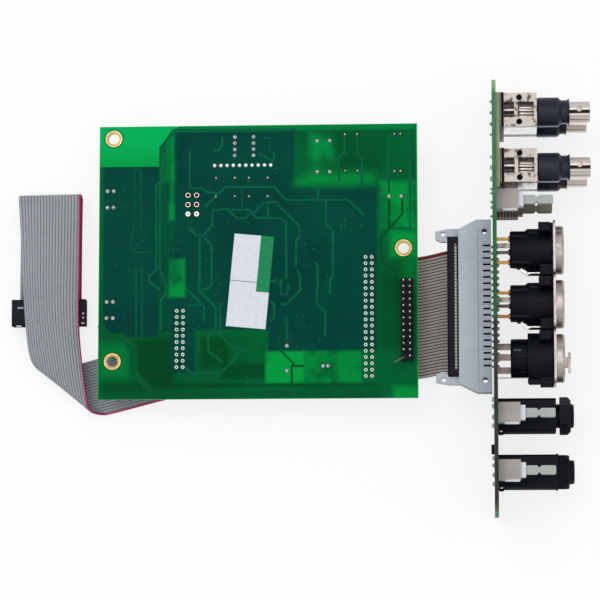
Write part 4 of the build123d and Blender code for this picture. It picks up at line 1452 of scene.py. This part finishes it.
@dataclass
class Joints:
    """Solder joints on the main board, placed in board millimetres as its layout has them.

    A profile is a list of (height, radius) points in millimetres.
    """

    finishes: Finishes
    network: Pair = (58.45, 95.1)
    cone: Line = (
        (0.0, 0.96), (0.035, 0.94), (0.04, 0.74), (0.1, 0.74), (0.15, 0.62), (0.22, 0.4),
        (0.5, 0.34), (0.9, 0.28), (1.1, 0.24), (1.14, 0.08),
    )
    drop: Line = (
        (0.0, 0.94), (0.035, 0.92), (0.04, 0.7), (0.1, 0.7), (0.16, 0.6), (0.3, 0.46), (0.5, 0.36),
        (0.8, 0.26), (0.9, 0.1),
    )
    bead: Line = (
        (0.0, 0.84), (0.035, 0.82), (0.04, 0.5), (0.12, 0.48), (0.3, 0.4), (0.6, 0.28), (0.8, 0.2),
        (0.86, 0.08),
    )
    dome: Line = ((0.02, 0.82), (0.25, 0.82), (0.6, 0.66), (0.85, 0.4), (0.95, 0.15))

    def pins(self) -> list[Pair]:
        """The two box headers' pins, in two columns each.

        Returns:
            Their places.
        """
        return [
            (cx + dx, y) for (cx, cy), rows in (((109.45, 33.0), 20), ((33.1, 24.4), 10))
            for dx in spread(2, PITCH) for y in spread(rows, PITCH, cy)
        ]

    def leads(self) -> list[Pair]:
        """The chip, the pairs at the left edge, three wide pairs and four single leads.

        Returns:
            Their places.
        """
        places = [(x, y) for x in spread(2, 3 * PITCH, 59.0) for y in spread(4, PITCH, 103.0)]
        places += [(x, y) for x in spread(2, PITCH, 4.6) for y in (85.0, 78.3, 39.7, 33.05)]
        wide_pairs = ((91.25, 104.9), (91.25, 92.1), (120.3, 81.8))
        places += [(x + dx, y) for x, y in wide_pairs for dx in spread(2, 5.0)]
        return places + [(76.4, 21.3), (76.4, 11.2), (91.0, 13.05), (93.0, 13.05)]

    def thin_leads(self) -> list[Pair]:
        """Four pairs at the upper right, and the oscillators' corners.

        Returns:
            Their places.
        """
        places = [(x + dx, y) for x, y in ((102.55, 92.35), (102.4, 107.4)) for dx in spread(2, 5.0)]
        places += [(x + dx, y) for x, y in ((121.25, 107.3), (121.2, 92.1)) for dx in spread(2, 2.5)]
        return places + [
            (cx + dx, cy + dy) for cx, cy in ((51.4, 86.2), (64.8, 86.1))
            for dx in spread(2, 3 * PITCH) for dy in spread(2, 3 * PITCH)
        ]

    def build(self) -> None:
        """Make the ringed joints and the filled row."""
        solder = self.finishes.slots[Slot.SOLDER]
        white = Metal("network_solder", tone(250, 250, 250), 0.45, tone(220, 220, 220)).make()
        middle, level = self.network
        row = [(x, level) for x in spread(10, PITCH, middle)]
        pieces = {}
        for name, profile, places, material, sides, angle in (
            ("pin_joints", self.cone, self.pins(), self.finishes.pin_solder, 12, 50.0),
            ("solder_rings", self.drop, self.leads(), solder, 12, 50.0),
            ("thin_lead_joints", self.bead, self.thin_leads(), solder, 12, 50.0),
            ("network_joints", self.dome, row, white, 16, 60.0),
        ):
            spots = [(x, y, BOARD_TOP) for x, y in places]
            pieces[name] = studs(name, profile, spots, material, sides, angle)
        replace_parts(pieces["solder_rings"], "solder_joints")


@dataclass
class Fittings:
    """Small pieces on the connectors that the frame leaves to the finish, in board millimetres."""

    finishes: Finishes
    phono_rows: Pair = PHONO_ROWS
    male_rows: Pair = MALE_ROWS
    female_row: float = 15.0
    switch_rows: tuple[float, ...] = (77.3, -7.7, -30.3)
    jack_rows: Pair = (-7.3, -29.8)
    ring_columns: tuple[int, float, float] = (2, 3.5, 37.95)
    ring_rows: tuple[float, ...] = (75.35, 79.2, 83.05)

    def build(self) -> None:
        """Make each group of fittings."""
        self.ring_plugs()
        self.housing_seams()
        self.wire_ends()
        self.vents()
        self.phono_parts()
        self.switch_frames()
        self.mouldings()
        self.jack_parts()
        self.far_edges()

    def boxes(
        self, name: str, boxes: Sequence[tuple[Point, Point]], bevel: float, slot: Slot,
        material: bpy.types.Material | None = None,
    ) -> None:
        """Make bevelled boxes between corners as one piece.

        Args:
            name: the piece's name.
            boxes: each box's low and high corner in board millimetres.
            bevel: the rounding of the edges in millimetres.
            slot: the piece's material slot.
            material: its finish, where it differs from the slot's.
        """
        made = [bevelled(spot(*low), spot(*high), bevel * MM) for low, high in boxes]
        attach(settle(joined(made), name), material or self.finishes.slots[slot])

    def ring_plugs(self) -> None:
        """Centres of the small open rings, dark in the upper rows and pale in the lowest, and their gaps."""
        low, *upper = self.ring_rows
        columns = spread(*self.ring_columns)
        base = BOARD_TOP + 0.08
        maroon = Plastic("ring_maroon", tone(42, 8, 12), 0.5, vary=0.3, gloss=0.1).make()
        pearl = Metal("ring_tin", tone(214, 218, 206), 0.4, tone(60, 56, 50), (1, 1, 1), 0.8, 900.0).make()
        gap = Plastic("mask_gap", tone(0, 44, 32), 0.5, vary=0.2, gloss=0.1).make()
        wide = ((0.0, 0.78), (0.05, 0.78), (0.09, 0.64), (0.05, 0.3), (0.05, 0.1))
        studs("ring_plugs", wide, [(x, y, base) for x in columns for y in upper], maroon)
        pale = ((0.0, 0.72), (0.05, 0.72), (0.1, 0.5), (0.05, 0.28), (0.05, 0.1))
        studs("ring_caps", pale, [(x, low, base) for x in columns], pearl)
        speck = ((0.0, 0.36), (0.05, 0.36), (0.07, 0.24), (0.06, 0.1))
        studs("ring_specks", speck, [(x, low, base + 0.06) for x in columns], maroon, 12)
        places = [Matrix.Translation(spot(x, y, BOARD_TOP)) for x in columns for y in self.ring_rows]
        attach(copies(hoop(1.0, 1.34, 0.13), places, "ring_gaps"), gap)

    def housing_seams(self) -> None:
        """Closed rings round the male housings where the rear body meets the barrel."""
        turn = Matrix.Rotation(math.pi / 2, 4, "Y")
        places = [Matrix.Translation(spot(172.35, y, 22.0)) @ turn for y in self.male_rows]
        seams = copies(hoop(7.72, 8.25, 0.9), places, "housing_seams")
        attach(seams, self.finishes.slots[Slot.BLACK])

    def wire_ends(self) -> None:
        """The cut conductors in the panel socket's open slot."""
        end = ((0.0, 0.22), (0.35, 0.22), (0.5, 0.15), (0.52, 0.05))
        spots = [(144.45, y, 24.95) for y in spread(40, PITCH / 2, 36.0)]
        white = Plastic("cut_conductor", tone(204, 208, 214), 0.3, gloss=0.4).make()
        studs("conductor_ends", end, spots, white, 8, 50.0)

    def vents(self) -> None:
        """Painted shade: dark boxes at the bottom of the header's vents."""
        rows = spread(20, PITCH, 35.95)
        boxes = [((155.45, y - 0.36, 25.75), (158.35, y + 0.36, 26.2)) for y in rows]
        self.boxes("vent_shade", boxes, 0.05, Slot.BLACK, self.finishes.shade)

    def phono_parts(self) -> None:
        """Painted shade in the frames' holes and along one end of each frame, and the inner ribs and lugs of
        the phono sockets.
        """
        shade = self.finishes.shade
        # painted shade: dark fills in the frames' screw holes
        plug = ((0.0, 1.18), (0.35, 1.18), (0.5, 0.8), (0.42, 0.45), (0.6, 0.3), (0.62, 0.1))
        spots = [(170.3, y + dy, 39.25) for y in self.phono_rows for dy in (-4.9, 4.9)]
        studs("frame_hole_shade", plug, spots, shade)
        ribs = [
            ((169.9, y + dy - 0.42, 36.4 - abs(dy) * 0.5), (175.9, y + dy + 0.42, 37.6 - abs(dy) * 0.5))
            for y in self.phono_rows for dy in (-2.3, -1.1, 0.1, 1.3)
        ]
        self.boxes("inner_ribs", ribs, 0.12, Slot.NICKEL)
        lug = ((0.0, 1.15), (0.25, 1.15), (0.4, 0.95), (0.42, 0.6), (0.3, 0.5), (0.3, 0.1))
        spots = [(194.1, y + 0.5, 36.95) for y in self.phono_rows]
        studs("barrel_lugs", lug, spots, self.finishes.slots[Slot.NICKEL])
        # painted shade: dark strips along one end of each frame
        seams = [((163.2, y - 6.9, 39.9), (164.1, y + 6.9, 40.9)) for y in self.phono_rows]
        self.boxes("frame_edge_shade", seams, 0.15, Slot.BLACK, shade)

    def switch_frames(self) -> None:
        """White ledges below the switches' cases and dark feet above the lower two."""
        ledges = [((163.4, y - 4.75, 35.4), (169.2, y - 3.9, 37.1)) for y in self.switch_rows]
        self.boxes("switch_frames", ledges, 0.15, Slot.WHITE)
        feet = [((162.2, y + 3.9, 35.6), (164.2, y + 4.5, 36.9)) for y in self.switch_rows[1:]]
        self.boxes("switch_feet", feet, 0.12, Slot.BLACK, self.finishes.shade)

    def mouldings(self) -> None:
        """Ribs, steps and clip bars of the male sockets, and the female one's flutes."""
        bars: list[tuple[Point, Point]] = []
        for y in self.male_rows:
            bars += [
                ((166.2, y + 4.2, 27.4), (174.0, y + 5.6, 29.0)),
                ((166.2, y - 6.2, 26.4), (174.0, y - 4.6, 28.7)),
                ((173.6, y + 5.6, 27.0), (178.1, y + 6.8, 28.9)),
                ((173.4, y - 10.1, 20.6), (178.1, y - 9.6, 23.4)),
                ((168.9, y - 7.6, 20.8), (170.4, y - 6.3, 23.6)),
                ((171.3, y - 7.6, 20.8), (172.8, y - 6.3, 23.6)),
            ]
        bars.append(((173.3, 4.2, 24.2), (177.9, 6.3, 27.6)))
        flutes = [self.female_row + dy for dy in (-2.6, -0.9, 0.8)]
        bars += [((166.4, y - 0.3, 28.6), (172.9, y + 0.3, 29.9)) for y in flutes]
        self.boxes("moulding_bars", bars, 0.18, Slot.BLACK)
        # painted highlights: thin grey boxes stand for glints on the sockets' seams and housings
        glints = [((168.3, y - 0.1, 29.74), (171.3, y + 0.12, 29.9)) for y in self.male_rows]
        glints += [((170.4, 8.9, 26.4), (172.9, 9.15, 27.2)), ((167.2, 17.2, 29.1), (170.4, 18.0, 29.65))]
        self.boxes("seam_glints", glints, 0.04, Slot.GREY, self.finishes.dull)
        wire = ((161.1, 6.3, 29.7), (173.3, 6.65, 30.05))
        self.boxes("sense_wire", [wire], 0.12, Slot.TIN, self.finishes.lead)

    def jack_parts(self) -> None:
        """The lower jack's collar, and the terminals beside both bodies' feet."""
        y = self.jack_rows[1]
        self.boxes("jack_collar", [((183.9, y - 7.0, 6.3), (184.7, y + 7.0, 21.0))], 0.3, Slot.BLACK)
        feet = [((161.1, y - 7.7, 15.0), (163.1, y - 6.4, 20.2)) for y in self.jack_rows]
        self.boxes("jack_feet", feet, 0.2, Slot.BLACK, self.finishes.shade)
        tags = [((161.3, y - 6.9, 19.9), (162.7, y - 6.2, 20.6)) for y in self.jack_rows]
        self.boxes("jack_tags", tags, 0.12, Slot.TIN)

    def far_edges(self) -> None:
        """Pale strain relief edges that show at both ends of the far socket."""
        pale = [((-34.9, 30.9, 8.1), (-32.7, 31.6, 8.55)), ((-8.3, 32.0, 8.1), (-7.0, 32.6, 8.55))]
        pale += [((-7.9, y, 8.1), (-7.1, y + 0.7, 8.55)) for y in (34.2, 36.0)]
        self.boxes("far_edges", pale, 0.1, Slot.GREY)


@dataclass(frozen=True)
class Studio:
    """Camera, lamps, floor and world.

    The eye is in board millimetres, the turn is a rotation vector in radians, and a lamp has its
    name, its place and size in metres and its power in watts.
    """

    lens: float = 181.747
    sensor: float = 36.0
    eye: Point = (158.63, -117.61, 1225.99)
    turn: Point = (0.129312, 0.063499, -0.0041195)
    lamps: tuple[tuple[str, Point, float, float], ...] = (
        ("key_lamp", (-0.45, 0.5, 1.5), 1.0, 9.0), ("fill_lamp", (0.6, -0.3, 1.6), 1.2, 6.0),
    )
    ambient: float = 0.62
    floor_size: float = 8.0
    floor_drop: float = 0.0001

    def build(self) -> None:
        """Set the photograph's view and a plain level light."""
        scene = bpy.context.scene
        lens = bpy.data.cameras.new("camera")
        lens.lens = self.lens
        lens.sensor_width = self.sensor
        camera = bpy.data.objects.new("camera", lens)
        scene.collection.objects.link(camera)
        turn = Vector(self.turn)
        camera.matrix_world = Matrix.Translation(spot(*self.eye)) @ Matrix.Rotation(turn.length, 4, turn)
        scene.camera = camera
        scene.view_settings.view_transform = "Standard"
        for name, place, size, power in self.lamps:
            lamp = bpy.data.lights.new(name, "AREA")
            lamp.size = size
            lamp.energy = power
            holder = bpy.data.objects.new(name, lamp)
            holder.location = place
            holder.rotation_euler = (-Vector(place)).to_track_quat("-Z", "Y").to_euler()
            scene.collection.objects.link(holder)
        self.sky(scene)
        self.floor()

    def sky(self, scene: bpy.types.Scene) -> None:
        """A level pale world that shows white to the camera and in reflections.

        Args:
            scene: the scene that takes it.
        """
        world = bpy.data.worlds.new("world")
        scene.world = world
        world.use_nodes = True
        tree = world.node_tree
        back = tree.nodes["Background"]
        rays = tree.nodes.new("ShaderNodeLightPath")
        seen = tree.nodes.new("ShaderNodeMath")
        seen.operation = "MAXIMUM"
        tree.links.new(rays.outputs["Is Camera Ray"], seen.inputs[0])
        tree.links.new(rays.outputs["Is Glossy Ray"], seen.inputs[1])
        level = tree.nodes.new("ShaderNodeMapRange")
        level.inputs["To Min"].default_value = self.ambient
        level.inputs["To Max"].default_value = 1.0
        tree.links.new(seen.outputs[0], level.inputs["Value"])
        tree.links.new(level.outputs[0], back.inputs["Strength"])
        back.inputs["Color"].default_value = (1, 1, 1, 1)

    def floor(self) -> None:
        """A white floor that keeps a faint shadow."""
        clear()
        bpy.ops.mesh.primitive_plane_add(size=self.floor_size, location=(0, 0, -self.floor_drop))
        plane = bpy.context.object
        plane.name = "floor"
        shader = Shader("floor_white")
        diffuse = shader.node("ShaderNodeBsdfDiffuse", None, {"Color": (0.9, 0.9, 0.9, 1)})[0]
        glow = shader.node("ShaderNodeEmission", None, {"Color": (1, 1, 1, 1), "Strength": 1.0})[0]
        rays = shader.node("ShaderNodeLightPath")
        blend = shader.node("ShaderNodeMixShader", None, {0: rays[0].most(rays[3]) * 0.8})[0]
        mixer = blend.out.node
        shader.tree.links.new(diffuse.out, mixer.inputs[1])
        shader.tree.links.new(glow.out, mixer.inputs[2])
        shader.tree.links.new(blend.out, shader.tree.nodes["Material Output"].inputs["Surface"])
        wear(plane, shader.material)


@dataclass(frozen=True)
class BoardArt:
    """Copper tracks and tented vias under the main board's mask, widths and rise in millimetres."""

    board: Board
    wide: float = 3.0
    main: float = 0.95
    thin: float = 0.45
    shadow: float = 0.9
    rise: float = 0.05

    def build(self) -> None:
        """Make the tracks in their widths and the vias."""
        green = self.track_finish("track_green", tone(6, 94, 62))
        broad = self.track_finish("broad_green", tone(2, 86, 46))
        shade = self.track_finish("track_shade", tone(0, 78, 36))
        board = self.board
        for name, lines, width, material in (
            ("wide_tracks", board.wide_tracks, self.wide, broad),
            ("main_tracks", board.main_tracks, self.main, green),
            ("thin_tracks", board.thin_tracks, self.thin, green),
            ("shadow_tracks", board.shadow_tracks, self.shadow, shade),
        ):
            attach(tracks(name, lines, width, self.rise), material)
        dot = ((0.0, 0.24), (0.05, 0.24), (0.08, 0.12), (0.06, 0.04))
        pale = self.track_finish("via_green", tone(44, 110, 84))
        studs("tented_vias", dot, [(x, y, BOARD_TOP) for x, y in board.vias], pale, 8)

    def track_finish(self, name: str, colour: Colour) -> bpy.types.Material:
        """Mask over copper, faintly mottled.

        Args:
            name: the material's name.
            colour: its lighter colour.

        Returns:
            The material.
        """
        shader = Shader(name)
        return shader.finish(
            Base_Color=shader.cloudy(shader.noise(120.0), lit(colour, 0.82), colour),
            Roughness=shader.noise(300.0) * 0.1 + 0.28, Specular_IOR_Level=0.015,
        )


def main() -> None:
    """Build the scene: studio, finishes and cables, then the fine pieces."""
    logging.basicConfig(level=logging.INFO, format="%(message)s")
    nodes = frame["nodes"]
    clear()
    Studio().build()
    board = Board()
    finishes = Finishes(board)
    finishes.dress(nodes, frame["record"]["subparts"])
    Cables().build(nodes)
    Joints(finishes).build()
    Fittings(finishes).build()
    BoardArt(board).build()
    log.info("all pieces made")
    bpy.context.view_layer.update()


if __name__ == "__main__":
    main()
